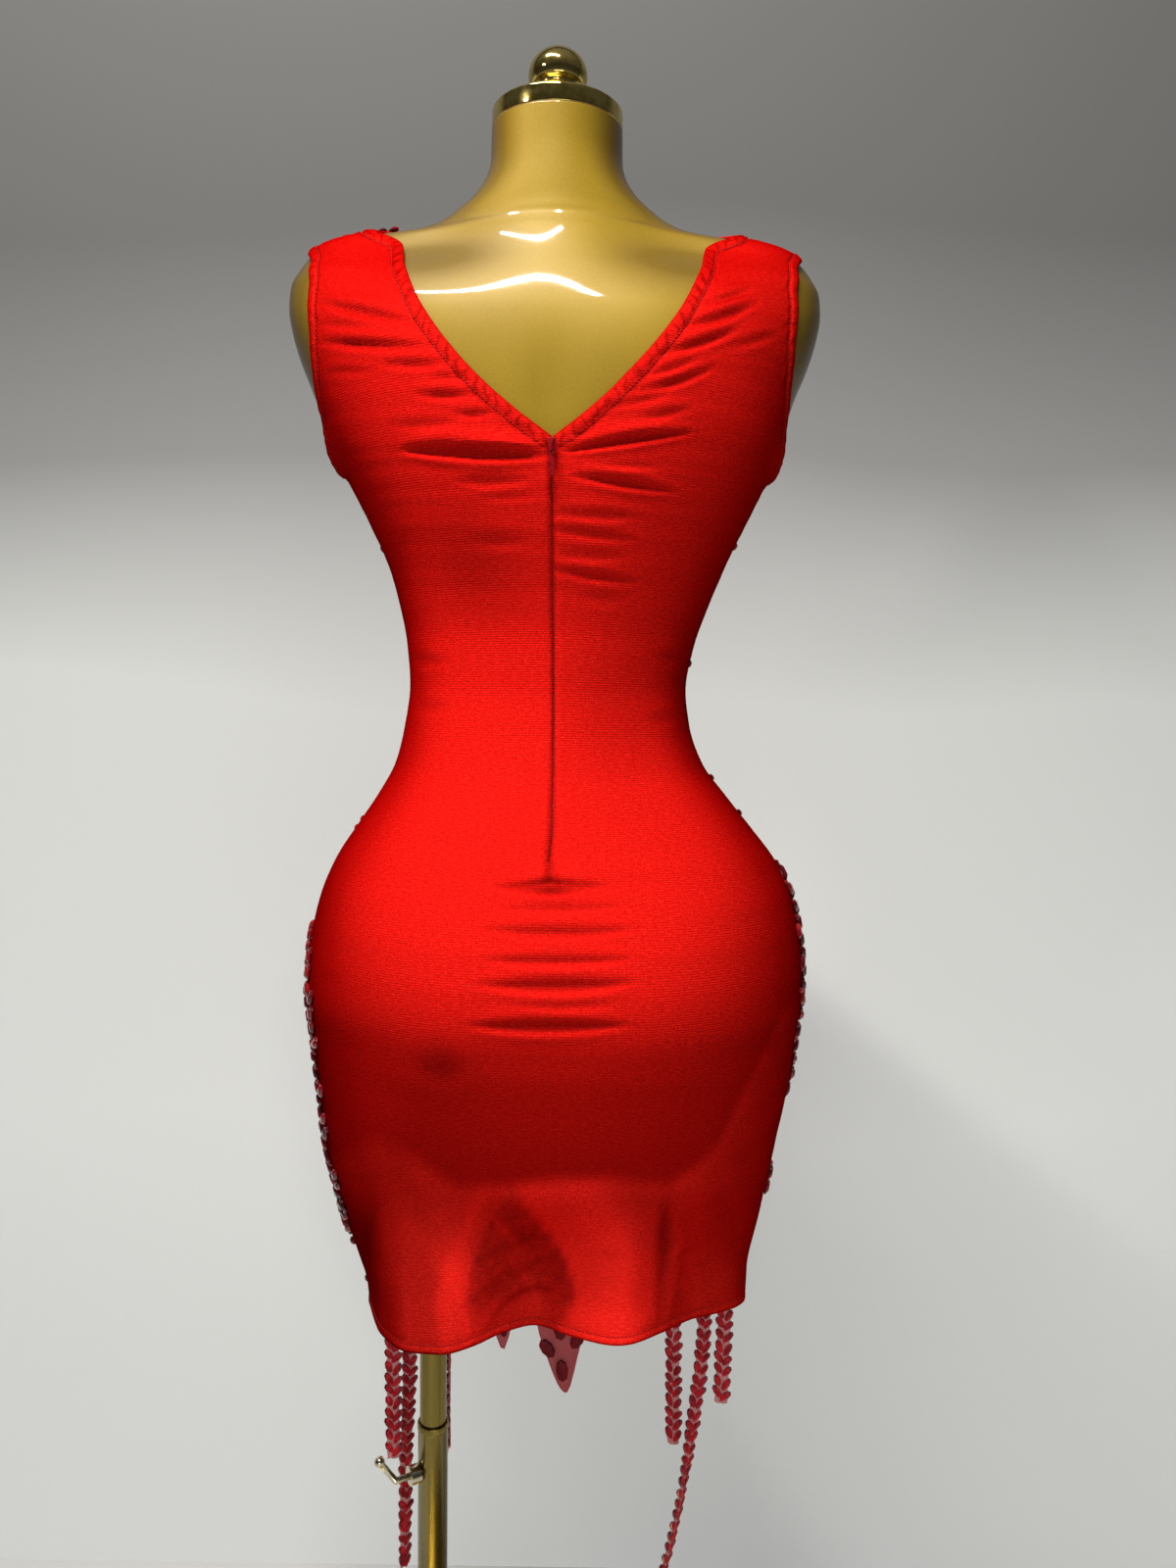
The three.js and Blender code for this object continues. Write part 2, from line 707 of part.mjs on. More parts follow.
// ---------------------------------------------------------------- the stand
add(
  "base_plate",
  lathe([[0, 0], [BASE_R - 2, 0], [BASE_R, 2], [BASE_R, BASE_H - 2], [BASE_R - 2, BASE_H], [0, BASE_H]], 48),
  brass,
);
{
  const z = BASE_H + 0.3;
  const g = lathe(
    [[OUTER_BORE, z], [OUTER_R, z], [OUTER_R, OUTER_TOP - 6], [OUTER_R + 0.5, OUTER_TOP - 5.5], [OUTER_R + 0.5, OUTER_TOP], [OUTER_BORE, OUTER_TOP], [OUTER_BORE, z]],
    28,
  );
  g.translate(POLE_X, 0, 0);
  add("outer_tube", g, brass);
  const h = lathe([[0, 120], [INNER_R, 120], [INNER_R, 689.6], [0, 689.6]], 28, Math.PI / 28);
  h.translate(POLE_X, 0, 0);
  add("inner_tube", h, brass);
}
{
  // the clamp: a boss beside the outer tube, and a screw with a bent handle and a ball
  const turn = THREE.MathUtils.degToRad(CLAMP_TURN),
    axis = new THREE.Vector3(-Math.cos(turn), -Math.sin(turn), 0),
    centre = new THREE.Vector3(POLE_X, 0, CLAMP_Z),
    on = (d) => centre.clone().addScaledVector(axis, d);
  const aim = (g, d) => {
    g.applyQuaternion(new THREE.Quaternion().setFromUnitVectors(new THREE.Vector3(0, 1, 0), axis));
    const c = on(d);
    g.translate(c.x, c.y, c.z);
    return g;
  };
  const boss = new THREE.CylinderGeometry(7.5, 7.5, 9, 24);
  let b = solid(aim(boss, OUTER_R + 4.2));
  const clear = new THREE.CylinderGeometry(OUTER_R + 0.35, OUTER_R + 0.35, 60, 56);
  clear.rotateX(Math.PI / 2);
  clear.translate(POLE_X, 0, CLAMP_Z);
  b = b.subtract(solid(clear));
  add("clamp_boss", geometryOf(b), brass);
  const p0 = on(21),
    p1 = on(32),
    tip = p1.clone().add(new THREE.Vector3(-12.8, 0, 16));
  const rod = (a, c, r) => {
    const d = c.clone().sub(a),
      g = new THREE.CylinderGeometry(r, r, d.length(), 12);
    g.applyQuaternion(new THREE.Quaternion().setFromUnitVectors(new THREE.Vector3(0, 1, 0), d.clone().normalize()));
    const m = a.clone().add(c).multiplyScalar(0.5);
    g.translate(m.x, m.y, m.z);
    return solid(g);
  };
  const ball = (c, r) => {
    const g = new THREE.SphereGeometry(r, 12, 8);
    g.translate(c.x, c.y, c.z);
    return solid(g);
  };
  const handle = rod(p0, p1, 2.7).add(ball(p1, 2.7)).add(rod(p1, tip, 2.6)).add(ball(tip, 4.3));
  add("clamp_handle", geometryOf(handle), brass);
}

export default dressOnForm;
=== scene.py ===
"""Looks of a stone-set mesh dress with a jersey back, on a limbless gold form and its stand.

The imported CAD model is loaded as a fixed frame. Tables are in millimetres and meshes in metres.
The dress back faces -Y, the wearer's left side -X.
"""
import math

import bmesh
import bpy
import numpy as np
from mathutils import Matrix, Vector


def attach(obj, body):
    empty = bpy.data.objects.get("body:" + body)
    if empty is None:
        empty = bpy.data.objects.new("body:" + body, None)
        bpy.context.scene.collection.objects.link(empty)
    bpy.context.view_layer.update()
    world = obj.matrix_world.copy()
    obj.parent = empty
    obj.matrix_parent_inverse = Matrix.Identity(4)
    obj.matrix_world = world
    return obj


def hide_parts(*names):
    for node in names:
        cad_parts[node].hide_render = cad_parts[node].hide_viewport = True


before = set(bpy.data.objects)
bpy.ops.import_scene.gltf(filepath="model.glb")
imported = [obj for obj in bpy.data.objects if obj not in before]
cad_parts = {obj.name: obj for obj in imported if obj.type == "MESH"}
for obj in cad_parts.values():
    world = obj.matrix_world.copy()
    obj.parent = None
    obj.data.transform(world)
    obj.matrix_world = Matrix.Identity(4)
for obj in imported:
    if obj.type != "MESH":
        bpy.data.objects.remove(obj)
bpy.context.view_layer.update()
scene = bpy.context.scene

# ---------------------------------------------------------------- camera
CAM_AT = (0.030, -0.87, 1.07)
CAM_PITCH, CAM_ROLL, CAM_LENS = 5.0, 0.9, 26.0
cam = bpy.data.cameras.new("camera")
cam.lens = CAM_LENS
cam.sensor_width = 36.0
cam.clip_start, cam.clip_end = 0.02, 60
cam_obj = bpy.data.objects.new("camera", cam)
scene.collection.objects.link(cam_obj)
cam_obj.matrix_world = (
    Matrix.Translation(CAM_AT)
    @ Matrix.Rotation(math.radians(90 - CAM_PITCH), 4, "X")
    @ Matrix.Rotation(math.radians(CAM_ROLL), 4, "Z")
)
scene.camera = cam_obj

# ---------------------------------------------------------------- section tables, in mm
FORM_END = [
    (690, 5, 146, 74, 62, 2.2), (692.5, 5, 155, 82, 69, 2.2), (700, 5, 162, 90, 75, 2.2),
    (725, 5, 168.5, 99, 82, 2.2), (760, 6.5, 176, 109, 90, 2.25), (800, 7, 182.5, 118, 96, 2.25),
    (835, 7, 186.2, 123, 99, 2.25),
]
SKIRT = [
    (585, 13, 146, 56, 90, 2.3), (602, 12, 147.5, 62, 91, 2.3), (618, 8, 152, 67, 91, 2.3),
    (634, 6, 157, 72, 91, 2.3), (660, 5.5, 163, 79, 91, 2.3), (690, 5, 168, 89, 91, 2.3),
    (722, 5, 173.5, 101, 92, 2.25), (753, 6.5, 177.5, 111, 94, 2.25), (781, 7, 181, 117.5, 96.5, 2.25),
    (806, 7, 183.3, 122, 98.5, 2.25), (835, 7, 186.6, 124, 99.5, 2.25),
]
BODY = [
    (860, 7.5, 186, 123, 99.5, 2.25), (885, 7.5, 183, 119.5, 99, 2.25), (910, 7.5, 177, 112, 98, 2.25),
    (935, 7, 166, 103, 96, 2.2), (960, 5.5, 148.5, 94, 94, 2.2), (985, 3.5, 130, 86, 91, 2.2),
    (1010, 0.5, 114, 79, 88, 2.2), (1040, -1.5, 105, 73.5, 86, 2.2), (1068, -1.5, 101.6, 71, 86, 2.2),
    (1100, 0, 105.5, 71.5, 89, 2.2), (1130, 2, 113.5, 75, 93, 2.2), (1160, 3.5, 124, 81, 98, 2.2),
    (1190, 3.5, 138, 87, 101, 2.2), (1215, 3, 150.5, 90.5, 101, 2.2), (1230, 2.5, 158, 91.5, 99, 2.2),
    (1245, 2, 165, 92, 96, 2.2), (1265, 1, 172.5, 91, 91, 2.2), (1285, 0, 180, 89, 86, 2.2),
    (1305, 0, 188, 86, 81, 2.2), (1325, 0, 193.8, 81.5, 75, 2.2), (1342, 0, 196.5, 76, 69, 2.15),
    (1357, 0, 195.5, 71, 64, 2.1), (1368, 0, 190, 67.5, 60, 2.05), (1377, 0, 183.5, 65, 58, 2),
    (1384, 0, 175, 63, 56, 2), (1389, 0, 161, 61.5, 54.5, 2), (1392.5, 0, 146, 60.5, 53.5, 2),
    (1395.5, 0, 128, 59.5, 53, 2), (1398, 0, 112, 58.5, 52.5, 2), (1402, 0, 96, 57.5, 52, 2),
    (1407, 0, 84, 56, 51.5, 2), (1413, 0, 74.5, 54.5, 51, 2), (1420, 0, 65, 53, 50.5, 2),
    (1428, 0, 57.5, 51.5, 50, 2), (1438, 0, 51.5, 50, 49, 2), (1450, 0, 48.5, 48.8, 48.5, 2),
    (1473, 0, 48, 48, 48, 2),
]
# soft mounds: x, z, rx, rz, height, side (+1 front, -1 back)
MOUNDS = [
    (78, 1192, 52, 50, 20, 1), (-78, 1192, 52, 50, 20, 1), (78, 838, 62, 62, 7, -1),
    (-70, 838, 62, 62, 7, -1), (88, 1290, 50, 60, 4, -1), (-88, 1290, 50, 60, 4, -1),
    (100, 1388, 65, 30, -26, -1), (-100, 1388, 65, 30, -26, -1),
    (2, 1262, 13, 42, -3.6, -1),
]
HEM_BACK = [(-150, 0), (-133, -32), (-114, -74), (-92, -92), (-72, -90), (-50, -77), (-28, -57), (-4, -46),
            (28, -62), (58, -72), (90, -57), (118, -35), (150, -24), (170, 0)]
HEM_FRONT = [(-200, 585), (-66, 585), (-55, 545), (-37, 481), (-27, 512), (-14, 524), (-4, 487), (19, 437),
             (30, 478), (40, 530), (52, 585), (200, 585)]
V_BACK = [(1.2, 1236), (22, 1251.5), (42, 1269), (62, 1290), (80, 1313), (92, 1333), (100.5, 1352.5), (107, 1377)]
SCOOP_FRONT = [(0, 1290), (30, 1293), (58, 1306), (80, 1326), (95, 1349), (105, 1376)]
ARMHOLE = [(160, 1236), (163, 1245), (166.5, 1260), (168.5, 1277), (169.5, 1297), (170.5, 1320), (171.5, 1345), (173, 1366)]
HEM_Z, HANG_Z, ZIP_END_Z, ARMPIT_Z = 585.0, 715.0, 947.0, 1229.0
CLOTH_GAP, BACK_WALL, FRONT_WALL = 2.0, 1.2, 1.6


def smooth(a, b, v):
    s = np.clip((v - a) / (b - a), 0, 1)
    return s * s * (3 - 2 * s)


class Through:
    """A monotone cubic through a table's rows."""

    def __init__(self, x, y):
        x, y = np.array(x, float), np.array(y, float)
        d = np.diff(y) / np.diff(x)
        m = np.zeros(len(x))
        m[0], m[-1] = d[0], d[-1]
        for i in range(1, len(x) - 1):
            if d[i - 1] * d[i] > 0:
                h0, h1 = x[i] - x[i - 1], x[i + 1] - x[i]
                w0, w1 = 2 * h1 + h0, h1 + 2 * h0
                m[i] = (w0 + w1) / (w0 / d[i - 1] + w1 / d[i])
        self.x, self.y, self.m = x, y, m

    def __call__(self, v):
        x, y, m = self.x, self.y, self.m
        v = np.clip(np.asarray(v, float), x[0], x[-1])
        i = np.clip(np.searchsorted(x, v, "right") - 1, 0, len(x) - 2)
        h = x[i + 1] - x[i]
        s = (v - x[i]) / h
        return (y[i] * (1 + 2 * s) * (1 - s) ** 2 + m[i] * h * s * (1 - s) ** 2
                + y[i + 1] * s * s * (3 - 2 * s) + m[i + 1] * h * s * s * (s - 1))


class Loft:
    def __init__(self, rows):
        c = list(zip(*rows))
        z, half = c[0], c[2]
        t = [0.0]
        for i in range(1, len(z)):
            t.append(t[-1] + math.hypot(z[i] - z[i - 1], half[i] - half[i - 1]))
        self.z, self.cx, self.half, self.back, self.front, self.pow = (Through(t, k) for k in c)
        self.t_of_z = Through(z, t)
        self.length = t[-1]


form_loft = Loft(FORM_END + BODY)
dress_loft = Loft(SKIRT + BODY)
hem_y = Through(*zip(*HEM_BACK))
hem_front_z = Through(*zip(*HEM_FRONT))


def point(L, a, t, waves=False):
    a, t = np.broadcast_arrays(np.asarray(a, float), np.asarray(t, float))
    z, half, e = L.z(t), L.half(t), 2 / L.pow(t)
    c, s = np.cos(a), np.sin(a)
    x = L.cx(t) + half * np.sign(c) * np.abs(c) ** e
    side = np.where(s >= 0, -1.0, 1.0)
    y = side * np.where(side < 0, L.back(t), L.front(t)) * np.abs(s) ** e
    for mx, mz, rx, rz, h, ms in MOUNDS:
        y = y + np.where(side == ms, side * h * np.abs(s) * np.exp(-(((x - mx) / rx) ** 2) - ((z - mz) / rz) ** 2), 0)
    if waves:
        w = 1 - smooth(HEM_Z, HANG_Z, z)
        y = np.where(side < 0, y * (1 - w) + hem_y(x) * np.abs(s) ** 0.25 * w, y)
    return np.stack([x, y, z], -1)


def spot(L, a, t, waves=False, ea=0.02, et=2.0):
    p = point(L, a, t, waves)
    a, t = np.broadcast_arrays(np.asarray(a, float), np.asarray(t, float))
    da = point(L, a + ea, t, waves) - point(L, a - ea, t, waves)
    dt = point(L, a, np.minimum(t + et, L.length), waves) - point(L, a, np.maximum(t - et, 0), waves)
    n = np.cross(da, dt)
    n /= np.maximum(np.linalg.norm(n, axis=-1, keepdims=True), 1e-9)
    flip = n[..., 0] * (p[..., 0] - L.cx(t)) + n[..., 1] * p[..., 1] < 0
    n = np.where(flip[..., None], -n, n)
    return p, n


def angle_at(L, x, t):
    return np.arccos(np.clip(x / L.half(t), 0, 1) ** (L.pow(t) / 2))


def t_at_half(L, half):
    a, b = float(L.t_of_z(1345)), L.length
    for _ in range(40):
        m = (a + b) / 2
        if L.half(m) > half:
            a = m
        else:
            b = m
    return a


T_IN, T_OUT = t_at_half(dress_loft, 113), t_at_half(dress_loft, 174)


def along(path):
    """A path of (angle, t) by its share of length on the surface."""
    a, t = np.array(path).T
    p = point(dress_loft, a, t)
    s = np.concatenate([[0], np.cumsum(np.linalg.norm(np.diff(p, axis=0), axis=1))])
    s /= s[-1]
    fa, ft = Through(s, a), Through(s, t)
    return lambda v: (fa(v), ft(v))


def edge_path(table, end):
    rows = []
    for x, z in table:
        t = float(dress_loft.t_of_z(z))
        rows.append((float(angle_at(dress_loft, x, t)), t))
    return rows + [(0.0, end)]


def panel_grid(table, columns, side_rows, top_rows, ease=1.35, bias=1.0, crowd=False):
    """Angle and t of half a panel's grid: rows from hem to shoulder, columns from the centre to the side."""
    arm = along([(0.0, float(dress_loft.t_of_z(ARMPIT_Z)))] + edge_path(ARMHOLE, T_OUT))
    start = table[0][1]
    neck = along([(math.pi / 2, float(dress_loft.t_of_z(start)))] + edge_path(table, T_IN)[1:])
    pit, nt = float(dress_loft.t_of_z(ARMPIT_Z)), float(dress_loft.t_of_z(start))
    s = np.linspace(0, 1, side_rows + 1)
    if crowd:  # rows lie closer where the creases are
        fine_s = np.linspace(0, 1, 800)
        zz = dress_loft.z(pit * fine_s)
        dense = 0.62 + 0.9 * smooth(815, 840, zz) * smooth(956, 940, zz) + 0.8 * smooth(1120, 1150, zz) + 0.5 * smooth(604, 592, zz)
        run = np.concatenate([[0], np.cumsum((dense[1:] + dense[:-1]) / 2)])
        s = np.interp(s * run[-1], run, fine_s)
    t = pit * s
    ia, it = np.full_like(s, math.pi / 2), t + (nt - pit) * smooth(0.6, 1, s)
    oa, ot = np.zeros_like(s), t
    s2 = 1 - (1 - np.arange(1, top_rows + 1) / top_rows) ** ease
    na, nt2 = neck(s2)
    aa, at = arm(s2)
    ia, it = np.concatenate([ia, na]), np.concatenate([it, nt2])
    oa, ot = np.concatenate([oa, aa]), np.concatenate([ot, at])
    u = np.linspace(0, 1, columns + 1) ** bias
    A = ia[:, None] * (1 - u) + oa[:, None] * u
    T = it[:, None] * (1 - u) + ot[:, None] * u
    return A, T, u

# distance of the jersey's inner face off the form, and its solid's wall
CLOTH_GAP, BACK_WALL = 2.0, 1.2

# ---------------------------------------------------------------- mesh helpers
def new_object(name, verts, faces, material, body, uv=None, smooth_faces=True, replaces=(), crease=None):
    """A piece from vertices in mm. uv gives one pair of metres for each vertex."""
    me = bpy.data.meshes.new(name)
    v = np.asarray(verts, float) / 1000.0
    me.from_pydata(v.tolist(), [], [tuple(int(i) for i in f) for f in faces])
    me.validate()
    if uv is not None:
        layer = me.uv_layers.new(name="UVMap")
        idx = np.zeros(len(me.loops), int)
        me.loops.foreach_get("vertex_index", idx)
        layer.data.foreach_set("uv", np.asarray(uv, float)[idx].ravel())
    me.polygons.foreach_set("use_smooth", np.full(len(me.polygons), smooth_faces))
    me.materials.append(material)
    me.update()
    o = bpy.data.objects.new(name, me)
    scene.collection.objects.link(o)
    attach(o, body)
    if replaces:
        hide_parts(*replaces)
    return o


def from_cad(node, body, material, bevel=0.0003, segments=2, name=None):
    """A node's own shape with its flat faces joined and its edges rounded a little."""
    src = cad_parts[node]
    me = src.data.copy()
    me.name = name or node + "_fine"
    bm = bmesh.new()
    bm.from_mesh(me)
    bmesh.ops.remove_doubles(bm, verts=bm.verts, dist=1e-6)
    bmesh.ops.dissolve_limit(bm, angle_limit=math.radians(3), verts=bm.verts, edges=bm.edges)
    edges = [e for e in bm.edges if len(e.link_faces) == 2 and e.calc_face_angle(0) > math.radians(28)]
    if bevel:
        bmesh.ops.bevel(bm, geom=edges, offset=bevel, segments=segments, profile=0.6, affect="EDGES", clamp_overlap=True)
    for f in bm.faces:
        f.smooth = True
    bm.to_mesh(me)
    bm.free()
    me.materials.clear()
    me.materials.append(material)
    o = bpy.data.objects.new(me.name, me)
    scene.collection.objects.link(o)
    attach(o, body)
    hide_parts(node)
    return o


def lathe(name, profile, sides, material, body, at=(0, 0), replaces=(), tip_sharp=()):
    """A turned piece from a profile of (r, z) in mm that starts and ends on the axis, or closes on itself."""
    ang = np.linspace(0, 2 * math.pi, sides, endpoint=False)
    closed = profile[0] == profile[-1]
    prof = profile[:-1] if closed else profile
    verts, rings = [], []
    for r, z in prof:
        if r == 0:
            rings.append([len(verts)])
            verts.append((at[0], at[1], z))
        else:
            rings.append(list(range(len(verts), len(verts) + sides)))
            verts += [(at[0] + r * math.cos(a), at[1] + r * math.sin(a), z) for a in ang]
    faces = []
    n = len(rings)
    for i in range(n if closed else n - 1):
        a, b = rings[i], rings[(i + 1) % n]
        for j in range(sides):
            k = (j + 1) % sides
            if len(a) == 1:
                faces.append((a[0], b[k], b[j]))
            elif len(b) == 1:
                faces.append((a[j], a[k], b[0]))
            else:
                faces.append((a[j], a[k], b[k], b[j]))
    return new_object(name, verts, faces, material, body, replaces=replaces)


def rounded(profile, radius=0.6, steps=3):
    """The profile with each inner corner replaced by a small arc."""
    out = [profile[0]]
    for i in range(1, len(profile) - 1):
        p, q, r = (np.array(profile[i + k], float) for k in (-1, 0, 1))
        a, b = p - q, r - q
        la, lb = np.linalg.norm(a), np.linalg.norm(b)
        if la < 1e-6 or lb < 1e-6:
            out.append(tuple(q))
            continue
        c = min(radius, la * 0.45, lb * 0.45)
        s, e = q + a / la * c, q + b / lb * c
        for k in range(steps + 1):
            u = k / steps
            out.append(tuple((1 - u) ** 2 * s + 2 * u * (1 - u) * q + u * u * e))
    out.append(profile[-1])
    return out


def shell(points, normals, faces, inner, outer):
    """A closed wall from a sheet's points: outer face, inner face and rim. faces turn outward."""
    pts, nor = points.reshape(-1, 3), normals.reshape(-1, 3)
    n = len(pts)
    inner, outer = np.broadcast_to(inner, n), np.broadcast_to(outer, n)
    v = np.concatenate([pts + nor * outer[:, None], pts + nor * inner[:, None]])
    out = [tuple(f) for f in faces]
    out += [tuple(i + n for i in reversed(f)) for f in faces]
    edges = set()
    for f in faces:
        for i in range(len(f)):
            edges.add((f[i], f[(i + 1) % len(f)]))
    for a, b in edges:
        if (b, a) not in edges:
            out.append((b, a, a + n, b + n))
    return v, out


def line_distance(p, line):
    """Distance of each point to a polyline, and how far along it the nearest point lies."""
    best = np.full(len(p), 1e9)
    pos = np.zeros(len(p))
    run = 0.0
    for a, b in zip(line[:-1], line[1:]):
        d = b - a
        l2 = float(d @ d)
        if l2 < 1e-12:
            continue
        s = np.clip(((p - a) @ d) / l2, 0, 1)
        dist = np.linalg.norm(p - (a + s[:, None] * d), axis=1)
        near = dist < best
        best = np.where(near, dist, best)
        pos = np.where(near, run + s * math.sqrt(l2), pos)
        run += math.sqrt(l2)
    return best, pos


def hash01(v, seed=0.0):
    return np.modf(np.abs(np.sin(np.asarray(v, float) * 12.9898 + seed * 78.233) * 43758.5453))[0]


def wander(s, pitch, seed=0):
    """A smooth uneven wave along s, from -1 to 1, whose crests lie about a pitch apart."""
    k = s / pitch
    return (np.sin(2 * math.pi * k + 1.7 * np.sin(k * 0.9 + seed)) * 0.62
            + np.sin(2 * math.pi * k * 0.53 + seed * 2.1) * 0.28
            + np.sin(2 * math.pi * k * 1.71 + seed * 0.7) * 0.22)


def creases(p, table):
    """Height that the listed troughs and ridges give at each point, seen square on in X and Z."""
    h = np.zeros(len(p))
    q = p[:, [0, 2]]
    for pts, width, depth, lip in table:
        width, depth = 0.74 * width, 1.2 * depth
        line = np.array(pts, float)
        if len(line) == 3:  # a bent crease: round its corner
            a, b, c = line
            u = np.linspace(0, 1, 9)[:, None]
            line = (1 - u) ** 2 * a + 2 * u * (1 - u) * (2 * b - (a + c) / 2) + u * u * c
        total = float(np.linalg.norm(np.diff(line, axis=0), axis=1).sum())
        near = (q[:, 0] > line[:, 0].min() - 6 * width) & (q[:, 0] < line[:, 0].max() + 6 * width) \
            & (q[:, 1] > line[:, 1].min() - 6 * width) & (q[:, 1] < line[:, 1].max() + 6 * width)
        if not near.any():
            continue
        d, s = line_distance(q[near], line)
        up = np.sign(q[near][:, 1] - np.interp(q[near][:, 0], *line[np.argsort(line[:, 0])].T))
        u = s / max(total, 1e-6)
        taper = np.sin(math.pi * np.clip(u * 0.94 + 0.03, 0, 1)) ** 0.8
        wide = width * (0.42 + 0.58 * taper) * np.where(up > 0, 1.25, 0.72)
        trough = -np.exp(-((d / wide) ** 2))
        ridge = lip * np.exp(-(((d - 2.0 * wide) / (1.35 * wide)) ** 2)) * (0.75 + 0.25 * up)
        h[near] += depth * taper * (trough + ridge)
    return h


# ---------------------------------------------------------------- materials
def material(name, base, rough, metal=0.0, **sockets):
    m = bpy.data.materials.new(name)
    m.use_nodes = True
    b = m.node_tree.nodes["Principled BSDF"]
    b.inputs["Base Color"].default_value = (*base, 1)
    b.inputs["Roughness"].default_value = rough
    b.inputs["Metallic"].default_value = metal
    for k, v in sockets.items():
        b.inputs[k.replace("_", " ")].default_value = v
    return m, m.node_tree, b


def node(tree, kind, **values):
    n = tree.nodes.new(kind)
    for k, v in values.items():
        if k in n.inputs:
            n.inputs[k].default_value = v
        else:
            setattr(n, k, v)
    return n


def texture_at(tree, scale, source="Object", noise=None, rotation=None):
    """A coordinate stretched by scale, in metres."""
    c = node(tree, "ShaderNodeTexCoord")
    m = node(tree, "ShaderNodeMapping")
    m.inputs["Scale"].default_value = scale
    if rotation:
        m.inputs["Rotation"].default_value = rotation
    tree.links.new(c.outputs[source], m.inputs["Vector"])
    return m.outputs["Vector"]


def noise(tree, vector, scale, detail=3.0, rough=0.5):
    n = node(tree, "ShaderNodeTexNoise")
    n.inputs["Scale"].default_value = scale
    n.inputs["Detail"].default_value = detail
    n.inputs["Roughness"].default_value = rough
    tree.links.new(vector, n.inputs["Vector"])
    return n.outputs["Fac"]


def ramp(tree, fac, stops):
    r = node(tree, "ShaderNodeValToRGB")
    els = r.color_ramp.elements
    while len(els) < len(stops):
        els.new(0.5)
    for e, (p, c) in zip(els, stops):
        e.position = p
        e.color = (*c, 1)
    tree.links.new(fac, r.inputs["Fac"])
    return r.outputs["Color"]


def math_node(tree, op, a, b):
    n = node(tree, "ShaderNodeMath", operation=op)
    for i, v in enumerate((a, b)):
        if hasattr(v, "links") or hasattr(v, "is_linked"):
            tree.links.new(v, n.inputs[i])
        else:
            n.inputs[i].default_value = v
    return n.outputs[0]


def bump(tree, shader, height, distance, strength=1.0, before=None):
    n = node(tree, "ShaderNodeBump")
    n.inputs["Strength"].default_value = strength
    n.inputs["Distance"].default_value = distance
    tree.links.new(height, n.inputs["Height"])
    if before is not None:
        tree.links.new(before, n.inputs["Normal"])
    tree.links.new(n.outputs["Normal"], shader.inputs["Normal"])
    return n.outputs["Normal"]


# red stretch jersey with a satin face: fine crosswise ribs, with sheen and specular set to nothing
jersey, jt, jb = material("jersey", (0.60, 0.002, 0.001), 0.50)
jb.inputs["Sheen Weight"].default_value = 0.0
jb.inputs["Sheen Tint"].default_value = (1.0, 0.08, 0.05, 1)
jb.inputs["Specular IOR Level"].default_value = 0.0
jb.inputs["Specular Tint"].default_value = (1.0, 0.22, 0.16, 1)
uvv = texture_at(jt, (1, 1, 1), "UV")
rib = node(jt, "ShaderNodeTexWave", wave_type="BANDS", bands_direction="Y", wave_profile="SIN")
rib.inputs["Scale"].default_value = 190.0
rib.inputs["Distortion"].default_value = 0.9
rib.inputs["Detail"].default_value = 2.0
rib.inputs["Detail Scale"].default_value = 30.0
jt.links.new(uvv, rib.inputs["Vector"])
knit = node(jt, "ShaderNodeTexWave", wave_type="BANDS", bands_direction="X", wave_profile="SIN")
knit.inputs["Scale"].default_value = 420.0
knit.inputs["Distortion"].default_value = 0.6
jt.links.new(uvv, knit.inputs["Vector"])
streak = noise(jt, texture_at(jt, (240, 900, 1), "UV"), 1.0, 2.0, 0.5)
grain = noise(jt, texture_at(jt, (1, 1, 1), "UV"), 760.0, 2.0)
mixed = math_node(jt, "ADD", math_node(jt, "MULTIPLY", streak, 0.45), math_node(jt, "MULTIPLY", grain, 0.55))
weave = ramp(jt, mixed, [(0.34, (0.46, 0.0036, 0.0024)), (0.50, (0.59, 0.0070, 0.0045)), (0.66, (0.74, 0.0150, 0.0100))])
# painted light and shade: the back's colour attribute, set further down, multiplied into the weave's colour
painted_shading = node(jt, "ShaderNodeAttribute", attribute_name="painted_shading")
weave_with_painted_shading = node(jt, "ShaderNodeMixRGB", blend_type="MULTIPLY")
weave_with_painted_shading.inputs[0].default_value = 1.0
jt.links.new(weave, weave_with_painted_shading.inputs[1])
jt.links.new(painted_shading.outputs["Color"], weave_with_painted_shading.inputs[2])
